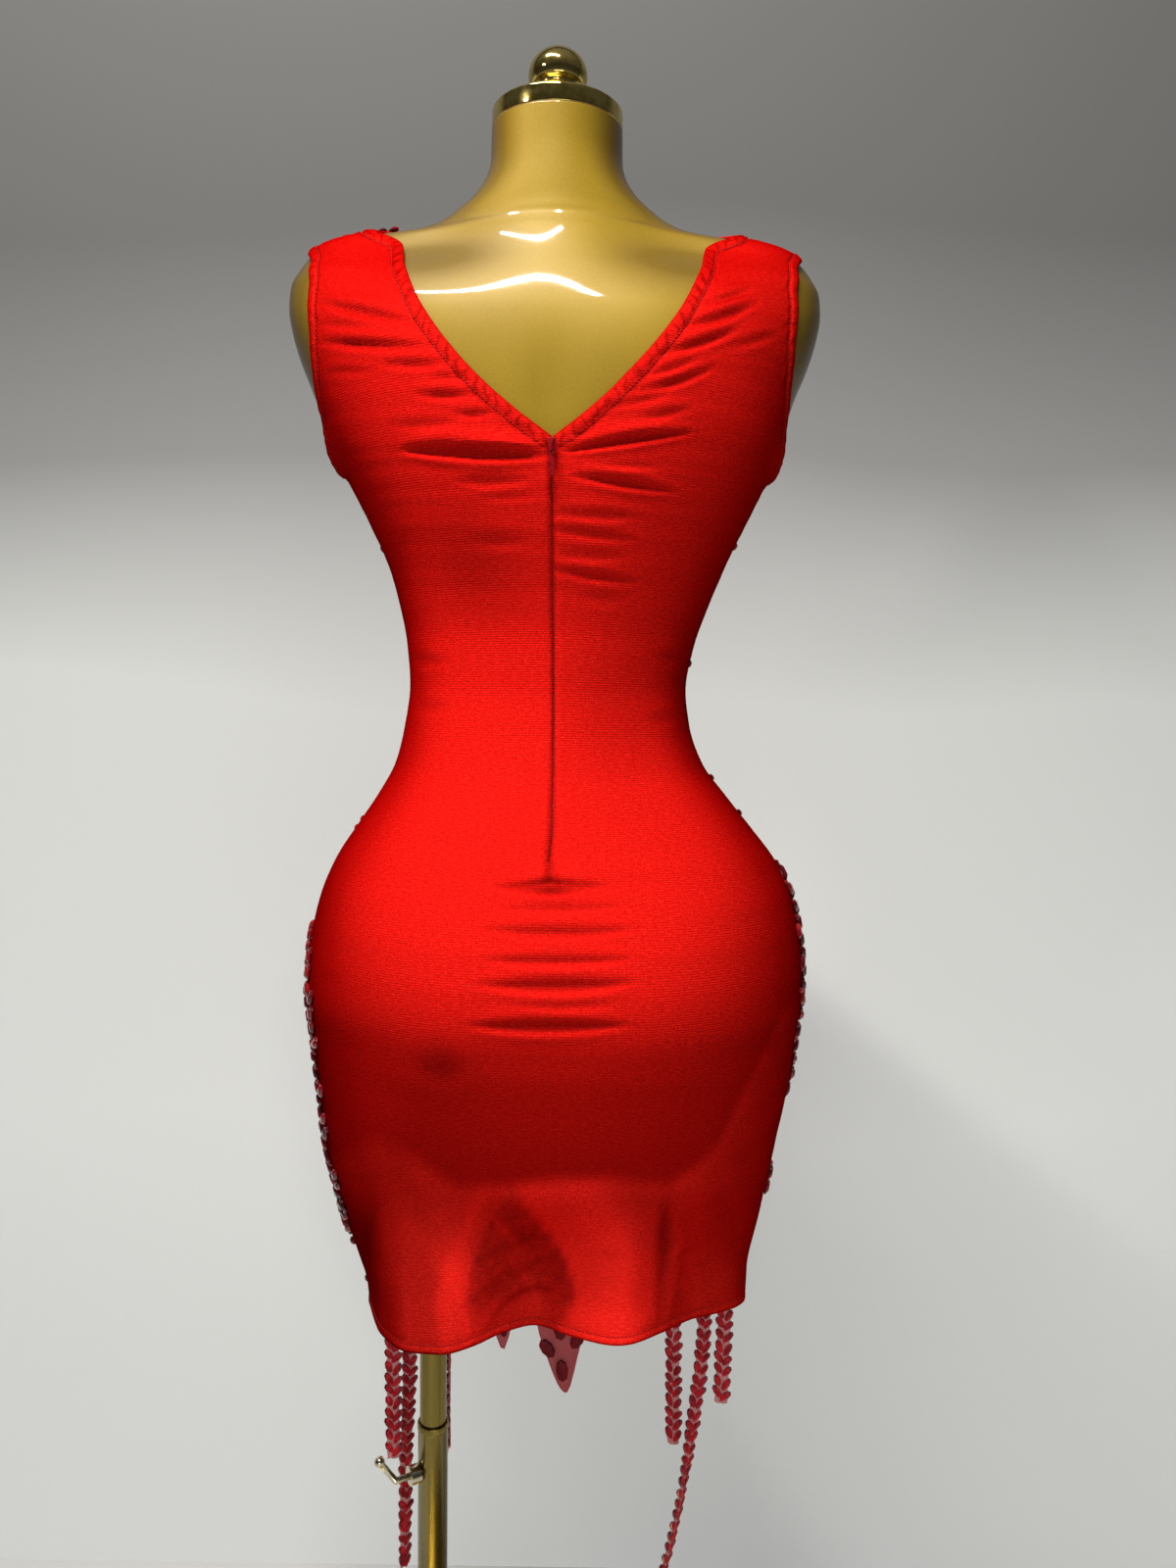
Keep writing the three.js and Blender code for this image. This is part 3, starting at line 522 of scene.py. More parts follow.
# the turned bands along the neck and the armholes: painted shade in slanting ripples and along a stitch line
banded = weave_with_painted_shading.outputs[0]
for name_, wide_, pitch_, slant_, deep_ in (("neck_edge", 9.0, 9.4, 0.7, 0.42), ("arm_edge", 7.0, 8.2, 0.4, 0.24)):
    sep_ = node(jt, "ShaderNodeSeparateXYZ")
    jt.links.new(node(jt, "ShaderNodeAttribute", attribute_name=name_).outputs["Vector"], sep_.inputs[0])
    from_edge, along_ = sep_.outputs["X"], sep_.outputs["Y"]
    slow = noise(jt, texture_at(jt, (1, 1, 1), "UV"), 55.0, 2.0)
    phase = math_node(jt, "ADD", math_node(jt, "MULTIPLY", along_, 2 * math.pi / pitch_), math_node(jt, "MULTIPLY", from_edge, slant_ * 2 * math.pi / pitch_))
    phase = math_node(jt, "ADD", phase, math_node(jt, "MULTIPLY", slow, 17.0))
    crest = math_node(jt, "MAXIMUM", math_node(jt, "SUBTRACT", math_node(jt, "SINE", phase, 0.0), 0.1), 0.0)
    band_ = node(jt, "ShaderNodeMapRange")
    band_.interpolation_type = "SMOOTHSTEP"
    for key_, val_ in (("From Min", wide_ + 0.2), ("From Max", wide_ - 1.8), ("To Min", 0.0), ("To Max", deep_)):
        band_.inputs[key_].default_value = val_
    jt.links.new(from_edge, band_.inputs["Value"])
    near_ = node(jt, "ShaderNodeMapRange")
    for key_, val_ in (("From Min", 0.2), ("From Max", 2.0), ("To Min", 0.0), ("To Max", 1.0)):
        near_.inputs[key_].default_value = val_
    jt.links.new(from_edge, near_.inputs["Value"])
    # painted shade: the ripples within the band and the stitch line darken the colour
    painted_band_shade_ = math_node(jt, "MULTIPLY", math_node(jt, "MULTIPLY", crest, band_.outputs[0]), near_.outputs[0])
    painted_stitch_shade_ = math_node(jt, "ABSOLUTE", math_node(jt, "SUBTRACT", from_edge, wide_), 0.0)
    painted_stitch_shade_ = math_node(jt, "MAXIMUM", math_node(jt, "SUBTRACT", 1.0, math_node(jt, "MULTIPLY", painted_stitch_shade_, 1.1)), 0.0)
    painted_band_shade_ = math_node(jt, "SUBTRACT", 1.0, math_node(jt, "ADD", painted_band_shade_, math_node(jt, "MULTIPLY", painted_stitch_shade_, 0.45)))
    one = node(jt, "ShaderNodeMixRGB", blend_type="MULTIPLY")
    one.inputs[0].default_value = 1.0
    jt.links.new(banded, one.inputs[1])
    jt.links.new(painted_band_shade_, one.inputs[2])
    banded = one.outputs[0]
# painted shade: the satin's colour darkens as its face turns away from the view, and is painted a little lighter
# face-on
face_on = node(jt, "ShaderNodeLayerWeight")
face_on.inputs["Blend"].default_value = 0.5
turned = node(jt, "ShaderNodeMixRGB", blend_type="MULTIPLY")
turned.inputs[0].default_value = 1.0
jt.links.new(banded, turned.inputs[1])
jt.links.new(ramp(jt, face_on.outputs["Facing"], [(0.0, (1.10, 1.10, 1.10)), (0.20, (0.98, 0.9, 0.9)), (0.48, (0.58, 0.3, 0.3)), (0.75, (0.40, 0.1, 0.1)), (1.0, (0.28, 0.06, 0.06))]), turned.inputs[2])
jt.links.new(turned.outputs[0], jb.inputs["Base Color"])
h = math_node(jt, "ADD", math_node(jt, "MULTIPLY", rib.outputs["Fac"], 0.6), math_node(jt, "MULTIPLY", knit.outputs["Fac"], 0.25))
h = math_node(jt, "ADD", h, math_node(jt, "MULTIPLY", grain, 0.9))
bump(jt, jb, h, 0.0003, 0.6)

# thread of the topstitching
thread, tt, tb = material("thread", (0.30, 0.002, 0.002), 0.6)
tb.inputs["Specular IOR Level"].default_value = 0.2
tt.links.new(ramp(tt, noise(tt, texture_at(tt, (1, 1, 1)), 900.0), [(0.3, (0.22, 0.001, 0.001)), (0.7, (0.40, 0.003, 0.002))]), tb.inputs["Base Color"])

# sheer cherry mesh
net, nt_, nb = material("mesh_net", (0.42, 0.03, 0.06), 0.62)
nb.inputs["Alpha"].default_value = 0.84
nb.inputs["Sheen Weight"].default_value = 0.05
net_u = node(nt_, "ShaderNodeTexWave", wave_type="BANDS", bands_direction="DIAGONAL")
net_u.inputs["Scale"].default_value = 260.0
nt_.links.new(texture_at(nt_, (1, 1, 1), "UV"), net_u.inputs["Vector"])
nt_.links.new(ramp(nt_, noise(nt_, texture_at(nt_, (1, 1, 1), "UV"), 60.0, 4.0), [(0.3, (0.48, 0.030, 0.046)), (0.7, (0.62, 0.066, 0.080))]), nb.inputs["Base Color"])
bump(nt_, nb, net_u.outputs["Fac"], 0.00025, 0.5)

# the finer net of the hanging strips
strip_net, sn_, snb = material("strip_net", (0.62, 0.10, 0.13), 0.62)
snb.inputs["Alpha"].default_value = 0.76
sn_.links.new(ramp(sn_, noise(sn_, texture_at(sn_, (1, 1, 1), "UV"), 300.0, 3.0), [(0.3, (0.64, 0.14, 0.155)), (0.7, (0.84, 0.36, 0.36))]), snb.inputs["Base Color"])

# dark cherry cut stones with a foiled back
stone, st, sb = material("stones", (0.13, 0.003, 0.008), 0.07, 0.0)
sb.inputs["IOR"].default_value = 1.58
sb.inputs["Coat Weight"].default_value = 0.25
sb.inputs["Coat Roughness"].default_value = 0.03
sb.inputs["Metallic"].default_value = 0.3
st.links.new(ramp(st, noise(st, texture_at(st, (1, 1, 1)), 70.0, 2.0), [(0.32, (0.045, 0.001, 0.004)), (0.5, (0.15, 0.004, 0.010)), (0.68, (0.34, 0.012, 0.012))]), sb.inputs["Base Color"])

# their flat backs, seen through the mesh
pad_mat, dt_, db = material("stone_backs", (0.55, 0.008, 0.020), 0.36)
db.inputs["Specular IOR Level"].default_value = 0.12
dt_.links.new(ramp(dt_, noise(dt_, texture_at(dt_, (1, 1, 1)), 160.0, 2.0), [(0.32, (0.24, 0.003, 0.008)), (0.5, (0.46, 0.006, 0.016)), (0.68, (0.70, 0.014, 0.026))]), db.inputs["Base Color"])

# the darker backs of the front's larger stones
back_mat, kt_, kb = material("dark_backs", (0.14, 0.003, 0.008), 0.38)
kb.inputs["Specular IOR Level"].default_value = 0.12
kt_.links.new(ramp(kt_, noise(kt_, texture_at(kt_, (1, 1, 1)), 90.0, 2.0), [(0.32, (0.11, 0.001, 0.004)), (0.68, (0.26, 0.003, 0.010))]), kb.inputs["Base Color"])

# gold lacquered form
form_mat, ft_, fb = material("form_gold", (0.27, 0.172, 0.018), 0.5, 0.05)
fb.inputs["Coat Weight"].default_value = 0.55
fb.inputs["Specular IOR Level"].default_value = 0.15
fb.inputs["Coat Roughness"].default_value = 0.05
# painted shade: the gold's colour darkens as its face turns away from the view
form_face = node(ft_, "ShaderNodeLayerWeight")
form_face.inputs["Blend"].default_value = 0.5
form_painted_falloff = node(ft_, "ShaderNodeMixRGB", blend_type="MULTIPLY")
form_painted_falloff.inputs[0].default_value = 1.0
ft_.links.new(ramp(ft_, form_face.outputs["Facing"], [(0.0, (1.0, 1.0, 1.0)), (0.24, (0.90, 0.88, 0.82)), (0.52, (0.44, 0.40, 0.30)), (1.0, (0.13, 0.10, 0.04))]), form_painted_falloff.inputs[2])
ft_.links.new(form_painted_falloff.outputs[0], fb.inputs["Base Color"])
fine = noise(ft_, texture_at(ft_, (1, 1, 1)), 1400.0, 2.0)
soft = noise(ft_, texture_at(ft_, (1, 1, 1)), 9.0, 2.0)
ft_.links.new(ramp(ft_, math_node(ft_, "ADD", math_node(ft_, "MULTIPLY", fine, 0.5), math_node(ft_, "MULTIPLY", soft, 0.5)),
                   [(0.30, (0.225, 0.143, 0.007)), (0.52, (0.288, 0.186, 0.011)), (0.74, (0.35, 0.233, 0.017))]), form_painted_falloff.inputs[1])
bump(ft_, fb, fine, 0.00006, 0.35)

# polished gold of the cap and knob
cap_mat, ct_, cb = material("polished_gold", (0.60, 0.46, 0.12), 0.07, 1.0)
wear = noise(ct_, texture_at(ct_, (1, 1, 1)), 220.0, 4.0)
ct_.links.new(ramp(ct_, wear, [(0.35, (0.50, 0.38, 0.09)), (0.6, (0.68, 0.52, 0.17))]), cb.inputs["Base Color"])
rr = node(ct_, "ShaderNodeMapRange")
rr.inputs["To Min"].default_value, rr.inputs["To Max"].default_value = 0.03, 0.15
ct_.links.new(wear, rr.inputs["Value"])
ct_.links.new(rr.outputs[0], cb.inputs["Roughness"])

# brass of the stand: polished, with fine marks along the tubes
brass, bt_, bb = material("stand_metal", (0.32, 0.245, 0.07), 0.24, 1.0)
marks = noise(bt_, texture_at(bt_, (260, 260, 4)), 1.0, 4.0, 0.6)
bt_.links.new(ramp(bt_, marks, [(0.35, (0.19, 0.142, 0.032)), (0.65, (0.27, 0.205, 0.056))]), bb.inputs["Base Color"])
rb = node(bt_, "ShaderNodeMapRange")
rb.inputs["To Min"].default_value, rb.inputs["To Max"].default_value = 0.18, 0.36
bt_.links.new(marks, rb.inputs["Value"])
bt_.links.new(rb.outputs[0], bb.inputs["Roughness"])

# the clamp's paler metal
pale, et_, eb = material("clamp_metal", (0.62, 0.55, 0.40), 0.14, 1.0)
et_.links.new(ramp(et_, noise(et_, texture_at(et_, (1, 1, 1)), 300.0, 4.0), [(0.35, (0.52, 0.46, 0.32)), (0.65, (0.70, 0.63, 0.48))]), eb.inputs["Base Color"])

# lacquered zip parts and the tape
zip_mat, zt_, zb = material("zip_pull", (0.20, 0.004, 0.012), 0.42, 0.0)
zb.inputs["Specular IOR Level"].default_value = 0.08
zt_.links.new(ramp(zt_, noise(zt_, texture_at(zt_, (1, 1, 1)), 700.0), [(0.3, (0.18, 0.002, 0.005)), (0.7, (0.32, 0.005, 0.009))]), zb.inputs["Base Color"])
tape_mat, pt_, pb = material("zip_tape", (0.30, 0.006, 0.012), 0.6)
twill = node(pt_, "ShaderNodeTexWave", wave_type="BANDS", bands_direction="DIAGONAL")
twill.inputs["Scale"].default_value = 500.0
pt_.links.new(texture_at(pt_, (1, 1, 1)), twill.inputs["Vector"])
pt_.links.new(ramp(pt_, twill.outputs["Fac"], [(0.2, (0.20, 0.004, 0.008)), (0.8, (0.36, 0.008, 0.014))]), pb.inputs["Base Color"])
bump(pt_, pb, twill.outputs["Fac"], 0.0002, 0.5)


# ---------------------------------------------------------------- the form
def form_mesh():
    around = 128
    ts = np.concatenate([np.linspace(0, 26, 14), np.linspace(30, form_loft.length - 1, 210), [form_loft.length]])
    a = np.arange(around) / around * 2 * math.pi
    P = point(form_loft, a[None, :], ts[:, None])
    v = P.reshape(-1, 3)
    rows = len(ts)
    faces = []
    for i in range(rows - 1):
        for j in range(around):
            k = (j + 1) % around
            # the angle turns from +X towards -Y
            faces.append((i * around + j, (i + 1) * around + j, (i + 1) * around + k, i * around + k))
    low, high = len(v), len(v) + 1
    v = np.concatenate([v, [[5, 0, float(form_loft.z(0))], [0, 0, float(form_loft.z(form_loft.length))]]])
    for j in range(around):
        k = (j + 1) % around
        faces.append((low, j, k))
        faces.append((high, (rows - 1) * around + k, (rows - 1) * around + j))
    return v, faces


v, f = form_mesh()
torso = new_object("torso", v, f, form_mat, "form", replaces=("form_torso",))

Z0 = 1473.3
cap = lathe("cap", rounded([(0, Z0), (47.6, Z0), (48, Z0 + 0.8), (48, Z0 + 11.6), (46.8, Z0 + 13), (24, Z0 + 14.2), (22, Z0 + 14.5), (0, Z0 + 14.5)], 0.7),
            128, cap_mat, "form", replaces=("neck_cap",))
K = Z0 + 14.8
knob_profile = [(0, K), (16, K), (15.5, K + 5), (16.4, K + 9.2), (16.9, K + 10.6), (16.9, K + 11.6), (15.6, K + 12.1), (15.6, K + 12.8),
                (17.8, K + 13.4), (18.3, K + 14.2), (18.1, K + 15.0), (16.6, K + 15.5), (16.6, K + 16.1), (18.9, K + 16.8), (20.3, K + 18.4)]
knob_profile += [(20.3 + 1.4 * math.sin(u * math.pi / 2), K + 18.4 + 5.4 * u) for u in (0.35, 0.7, 1.0)]
knob_profile += [(21.7 * math.cos(w) ** 0.92, K + 23.8 + 19.4 * math.sin(w)) for w in np.radians([10, 20, 30, 40, 50, 60, 70, 80])]
knob_profile += [(0, K + 43.2)]
knob = lathe("knob", knob_profile, 96, cap_mat, "form", replaces=("finial",))

# ---------------------------------------------------------------- the dress back
BACK_CREASES = [
    # points in X and Z, half-width, depth, height of the lip beside it
    ([(-98, 1228.5), (-50, 1224), (-4, 1222)], 5.4, 4.0, 0.5),
    ([(-70, 1231), (-36, 1231), (-4, 1229)], 2.6, -1.1, 0.0),
    ([(9, 1225), (50, 1233), (96, 1242)], 3.6, 2.4, 0.6),
    ([(60, 1249), (78, 1252), (96, 1259)], 3.0, 0.9, 0.5),
    ([(18, 1210), (48, 1206), (84, 1203)], 4.0, 1.9, 0.5),
    ([(30, 1218), (52, 1217), (72, 1218)], 3.0, 0.6, 0.5),
    ([(-62, 1207), (-38, 1205), (-12, 1207)], 5.0, 0.8, 0.4),
    ([(-46, 1196), (-30, 1195), (-10, 1196)], 4.0, 0.4, 0.4),
    ([(4, 1186), (30, 1184), (60, 1185)], 4.5, 0.7, 0.5),
    ([(1, 1176), (28, 1172), (58, 1170)], 4.4, 0.8, 0.5),
    ([(6, 1159), (30, 1157), (52, 1158)], 4.5, 0.5, 0.5),
    ([(4, 1149), (34, 1144), (62, 1142)], 3.8, 1.1, 0.5),
    ([(20, 1131), (36, 1129), (54, 1130)], 4.5, 0.5, 0.5),
    ([(-52, 1168), (-34, 1166), (-14, 1167)], 6.0, 0.4, 0.4),
    ([(-162, 1333), (-124, 1319), (-92, 1311)], 4.2, 1.7, 0.55),
    ([(-164, 1320), (-140, 1313), (-116, 1310)], 3.0, 0.7, 0.5),
    ([(-163, 1307), (-118, 1297), (-80, 1294)], 4.0, 1.7, 0.55),
    ([(-160, 1287), (-140, 1283), (-118, 1281)], 3.2, 0.6, 0.5),
    ([(-114, 1285), (-90, 1282), (-67, 1283)], 3.4, 1.3, 0.5),
    ([(-80, 1274), (-68, 1273), (-56, 1274)], 2.8, 1.0, 0.5),
    ([(-92, 1264), (-68, 1261), (-48, 1263)], 3.4, 1.3, 0.5),
    ([(-66, 1250), (-50, 1248.5), (-36, 1251)], 3.0, 1.2, 0.5),
    ([(-112, 1246), (-86, 1243), (-58, 1244)], 4.0, 0.5, 0.5),
    ([(102, 1328), (118, 1333), (138, 1344)], 3.0, 1.3, 0.5),
    ([(90, 1312), (114, 1319), (142, 1334)], 3.6, 1.6, 0.55),
    ([(76, 1293), (98, 1299), (126, 1313)], 3.4, 1.6, 0.55),
    ([(64, 1277), (80, 1281), (98, 1290)], 2.8, 1.2, 0.5),
    ([(56, 1266), (82, 1272), (112, 1287)], 3.2, 1.4, 0.5),
    ([(118, 1300), (136, 1306), (156, 1316)], 3.4, 0.7, 0.5),
    ([(40, 1256), (60, 1259), (84, 1268)], 3.0, 0.8, 0.5),
    ([(-32, 930), (6, 929.5), (42, 932)], 4.4, 1.9, 0.55),
    ([(-11, 930), (6, 929), (23, 930)], 5.0, 2.2, 0.3),
    ([(-28, 917), (12, 916), (54, 919)], 4.0, 1.0, 0.5),
    ([(-38, 903), (10, 901), (64, 904)], 4.6, 1.6, 0.55),
    ([(-36, 884), (14, 883), (60, 886)], 4.4, 1.6, 0.5),
    ([(-40, 868), (14, 866.5), (62, 871)], 5.4, 2.1, 0.55),
    ([(-16, 855), (18, 854), (48, 857)], 4.2, 0.6, 0.5),
    ([(-46, 841), (4, 840), (58, 843)], 5.4, 2.2, 0.5),
    ([(-84, 808), (-66, 807), (-48, 808)], 16.0, 1.0, 0.2),
    ([(90, 700), (92, 650), (90, 592)], 7.0, 2.6, 0.4),
    ([(-27, 722), (-36, 690), (-47, 646)], 11.0, 1.8, 0.3),
    ([(-40, 596), (-20, 618), (20, 619)], 5.0, -1.6, 0.0),
    ([(64, 690), (62, 650), (66, 612)], 16.0, -2.2, 0.0),
    ([(-100, 1088), (-86, 1084), (-70, 1085)], 5.0, 0.7, 0.4),
    ([(-98, 1052), (-84, 1050), (-66, 1052)], 5.0, 0.6, 0.4),
    ([(74, 1092), (84, 1090), (97, 1092)], 5.0, 0.7, 0.4),
    ([(66, 1046), (80, 1044), (96, 1047)], 5.0, 0.6, 0.4),
]


def sheet_faces(rows, cols, flip):
    out = []
    for i in range(rows - 1):
        for j in range(cols - 1):
            a, b, c, d = i * cols + j, i * cols + j + 1, (i + 1) * cols + j + 1, (i + 1) * cols + j
            out.append((a, d, c, b) if flip else (a, b, c, d))
    return out


def seam_edges(P, N, side_rows, sign):
    """Side and shoulder seams lie just off the plane between front and back."""
    for block in (np.s_[: side_rows + 1, -1], np.s_[-1, :]):
        P[block + (1,)] = sign * 0.15
        n = N[block]
        n[..., 1] = 0
        n /= np.linalg.norm(n, axis=-1, keepdims=True)
        N[block] = n


zip_x = Through([560, 700, 942, 970, 1136, 1235, 1260], [6, 5, 4, 6, 4, 2.5, 2.4])


def centre_turn(t):
    """How far the zip's line is turned from the middle of the section."""
    d = zip_x(dress_loft.z(t)) - dress_loft.cx(t)
    c = np.sign(d) * (np.abs(d) / dress_loft.half(t)) ** (dress_loft.pow(t) / 2)
    return np.arccos(c) - math.pi / 2


def back_half(side, columns, side_rows, top_rows):
    """Half the back: side +1 is the right half. Columns run from the centre to the side."""
    A, T, u = panel_grid(V_BACK, columns, side_rows, top_rows, crowd=True)
    ang = A if side > 0 else math.pi - A
    fade = np.ones(len(T))
    fade[side_rows:] = 1 - smooth(0, 8, np.arange(len(T) - side_rows))
    ang = ang + centre_turn(T) * (1 - u[None, :]) ** 1.5 * fade[:, None]
    P, N = spot(dress_loft, ang, T, True)
    seam_edges(P, N, side_rows, -1)
    return P, N


def edge_band(h, dist, s, width, raise_by, groove, ripple, pitch, seed, slant=0.5):
    """Relief of a turned and topstitched edge, dist from the edge and s along it."""
    inside = smooth(width + 0.6, width - 1.2, dist)
    rise = raise_by * inside * smooth(-0.2, 1.6, dist)
    line = -groove * np.exp(-(((dist - width) / 0.95) ** 2))
    wave = wander(s + slant * dist, pitch, seed)
    belly = np.exp(-(((dist - width * 0.5) / (width * 0.42)) ** 2))
    pull = np.exp(-(((dist - width - 2.0) / 3.2) ** 2)) * (dist > width)
    h += rise + line * (1 + 0.35 * wave) + ripple * wave * belly + 0.7 * ripple * wander(s + 1.5 * dist, pitch * 1.2, seed + 2) * pull


C_COLS, C_SIDE, C_TOP = ((56, 264, 92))
halves = []
for side in (1, -1):
    P, N = back_half(side, C_COLS, C_SIDE, C_TOP)
    halves.append((P, N))
neck_line = {s: halves[i][0][C_SIDE:, 0] for i, s in enumerate((1, -1))}
arm_line = {s: halves[i][0][C_SIDE:, -1] for i, s in enumerate((1, -1))}


def back_relief(P, N, side):
    p = P.reshape(-1, 3)
    h = creases(p, BACK_CREASES)
    edges = np.full((len(p), 4), 60.0)
    x, z = p[:, 0], p[:, 2]
    dx = np.abs(x - zip_x(z))
    # the zip: a sunk line between two soft welts, puckered along its length
    on = smooth(929, 938, z) * smooth(1238, 1230, z)
    h += on * (-0.62 * np.exp(-((dx / 1.0) ** 2)) + 0.30 * np.exp(-(((dx - 3.6) / 2.2) ** 2)))
    h += on * 0.22 * wander(z + 0.4 * x, 11, 3) * np.exp(-((dx / 9) ** 2))
    h += smooth(1160, 1236, z) * on * 0.5 * wander(z - 0.5 * dx, 7.5, 5 + side) * np.exp(-(((dx - 5) / 5) ** 2))
    # the drawn-in dimple below the zip's end
    h += -2.6 * np.exp(-(((x - 6) / 10) ** 2) - ((z - 930.5) / 3.6) ** 2)
    h += -1.2 * np.exp(-(((x - 6) / 30) ** 2) - ((z - 931) / 9) ** 2)
    # turned edges
    for s in (1, -1):
        if s == side:
            d, along_it = line_distance(p, neck_line[s])
            edge_band(h, d, along_it, 9.0, 0.8, 1.0, 0.5, 9.5, 1 + s, 0.9)
            edges[:, 0], edges[:, 1] = np.minimum(d, 60), along_it
            d, along_it = line_distance(p, arm_line[s])
            edge_band(h, d, along_it, 7.0, 0.8, 0.9, 0.4, 8.5, 4 + s, 0.4)
            edges[:, 2], edges[:, 3] = np.minimum(d, 60), along_it
            low = smooth(1262, 1236, z) * smooth(1216, 1232, z)
            h += 4.2 * low * np.exp(-((d / 13.0) ** 2))
    d = np.maximum(z - HEM_Z, 0)
    edge_band(h, d, x * 1.15, 5.4, 0.45, 0.75, 0.16, 9.0, 9, 0.2)
    # side seam: a shallow groove just behind the joint
    side_d = np.abs(p[:, 1])
    h += -0.3 * np.exp(-((side_d / 1.2) ** 2)) * (z < ARMPIT_Z) * (np.abs(x) > 60)
    # faint crosswise tension over the seat and the upper back
    h += 0.16 * wander(z + 0.02 * x, 23, 1.3) * smooth(120, 20, np.abs(x - 6)) * smooth(1000, 940, z) * smooth(760, 840, z)
    h += 0.10 * wander(z + 0.05 * x, 15, 2.2) * smooth(1110, 1160, z)
    # soft hanging folds near the hem
    low = smooth(700, 600, z)
    h += low * 0.9 * np.sin(x / 9.5 + 1.1 + 0.012 * (z - 585)) * smooth(40, 90, np.abs(x - 6))
    return h.reshape(P.shape[:2]), edges.reshape(P.shape[:2] + (4,))


full_P, full_N, full_h, full_e = [], [], [], []
for (P, N), side in zip(halves, (1, -1)):
    full_P.append(P)
    full_N.append(N)
    relief, edges_ = back_relief(P, N, side)
    full_h.append(relief)
    full_e.append(edges_)
# one grid from the left side to the right, with the two centre columns kept apart above the slit's end
PL, PR = full_P[1][:, ::-1], full_P[0]
NL, NR = full_N[1][:, ::-1], full_N[0]
HL, HR = full_h[1][:, ::-1], full_h[0]
rows_n = PL.shape[0]
P = np.concatenate([PL, PR], 1).copy()
N = np.concatenate([NL, NR], 1).copy()
H = np.concatenate([HL, HR], 1).copy()
E = np.concatenate([full_e[1][:, ::-1], full_e[0]], 1)
cl, cr = C_COLS, C_COLS + 1
slit = P[:, cl, 2] > ZIP_END_Z
slit_side = slit & (np.arange(rows_n) <= C_SIDE)
P[slit_side, cl, 0] -= 0.3
P[slit_side, cr, 0] += 0.3
ident = np.arange(P.shape[0] * P.shape[1]).reshape(P.shape[:2])
join = ident.copy()
join[~slit, cr] = join[~slit, cl]
faces = []
cols_n = P.shape[1]
for i in range(rows_n - 1):
    for j in range(cols_n - 1):
        if j == cl:
            continue
        faces.append((join[i, j], join[i, j + 1], join[i + 1, j + 1], join[i + 1, j]))
used = np.unique(np.array(faces))
remap = np.full(P.shape[0] * P.shape[1], -1)
remap[used] = np.arange(len(used))
faces = [tuple(int(remap[k]) for k in f) for f in faces]
Pf, Nf, Hf = P.reshape(-1, 3)[used], N.reshape(-1, 3)[used], H.reshape(-1)[used]
row_len = np.concatenate([[0], np.cumsum(np.linalg.norm(np.diff(P[:, cl + C_COLS // 2], axis=0), axis=1))])
col_len = np.concatenate([np.zeros((rows_n, 1)), np.cumsum(np.linalg.norm(np.diff(P, axis=1), axis=2), axis=1)], 1)
uv = np.stack([(col_len - col_len[:, [cl]]), np.broadcast_to(row_len[:, None], col_len.shape)], -1).reshape(-1, 2)[used] / 1000
outer_off = CLOTH_GAP + BACK_WALL + Hf
near_zip = (np.abs(Pf[:, 0] - zip_x(Pf[:, 2])) < 16) & (Pf[:, 2] > 936)
outer_off = np.maximum(outer_off, np.where(near_zip, 2.62, CLOTH_GAP * 0.35 + 0.9))
verts, allf = shell(Pf, Nf, faces, outer_off - 0.95, outer_off)
back = new_object("jersey_back", verts, allf, jersey, "form", uv=np.concatenate([uv, uv]), replaces=("back_panel",))

# painted light and shade in the cloth's colour: painted shade in the troughs and below the seat, and a painted glow of
# light coming through where no form backs the cloth
edge_x = np.array([-175, -140, -114, -85, -58, -28, 12, 48, 90, 110, 125, 143, 170], float)
edge_z = np.array([690, 722, 740, 733, 716, 721, 727, 728, 719, 733, 748, 788, 840], float)
bx, bz = Pf[:, 0], Pf[:, 2]
over = bz - np.interp(bx, edge_x, edge_z)
clear = 1 - smooth(-10, 8 + 10 * smooth(-50, -100, bx), over)
# a wavy pattern for the painted shadows and glow in the free cloth
painted_shadow_wave = 0.5 * (wander(bx + 0.35 * bz, 31, 0.4) + wander(bz - 0.5 * bx, 23, 2.0))


def painted_patch(x0, z0, rx, rz, lean=0.0):
    """A soft patch about a place, leaning across as it goes down, for painting light and shade into the cloth's
    colour.
    """
    return np.exp(-(((bx - x0 - lean * (bz - z0)) / rx) ** 2) - (((bz - z0) / rz) ** 2))


# painted light and shade on the panels of free cloth between the folds
fold_z = np.array([592, 600, 620, 650, 680, 708, 720], float)
left_of = np.interp(bz, fold_z, np.array([-50, -51, -55, -49, -37, -25, -22], float))
right_of = np.interp(bz, fold_z, np.array([16, 22, 27, 19, 2, -13, -17], float))
hollow = smooth(-3, 3, bx - left_of) * smooth(3, -3, bx - right_of) * smooth(716, 700, bz) * smooth(590, 622, bz)
painted_light_l = smooth(-24, -15, bx - left_of) * smooth(2, -3, bx - left_of)
painted_light_r = smooth(-3, 4, bx - right_of) * smooth(82, 46, bx - right_of) * (0.78 + 0.22 * smooth(712, 670, bz))
painted_light = (0.70 * painted_light_r + 0.34 * painted_light_l + 0.30 * painted_patch(112, 650, 9, 50) + 0.25 * painted_patch(10, 604, 60, 9)
           + 0.35 * hollow * np.clip(wander(bx + 0.6 * bz, 13, 2.2) - 0.2, 0, 1))
painted_shade = (hollow * (0.36 + 0.34 * painted_shadow_wave)
          + 0.44 * smooth(-60, -84, bx - 0.32 * (650 - bz)) * smooth(702, 640, bz) * (1 + 0.3 * painted_shadow_wave)
          + 0.42 * painted_patch(89, 672, 6, 34) + 0.2 * painted_patch(74, 708, 12, 8))
# the painted glow is stronger in the middle than towards the sides
sides = 1 - 0.62 * smooth(70, 135, np.abs(bx - 6))
painted_shading_r = 1 - clear + clear * (1 + 0.30 * sides + 0.08 * painted_shadow_wave + painted_light - painted_shade)
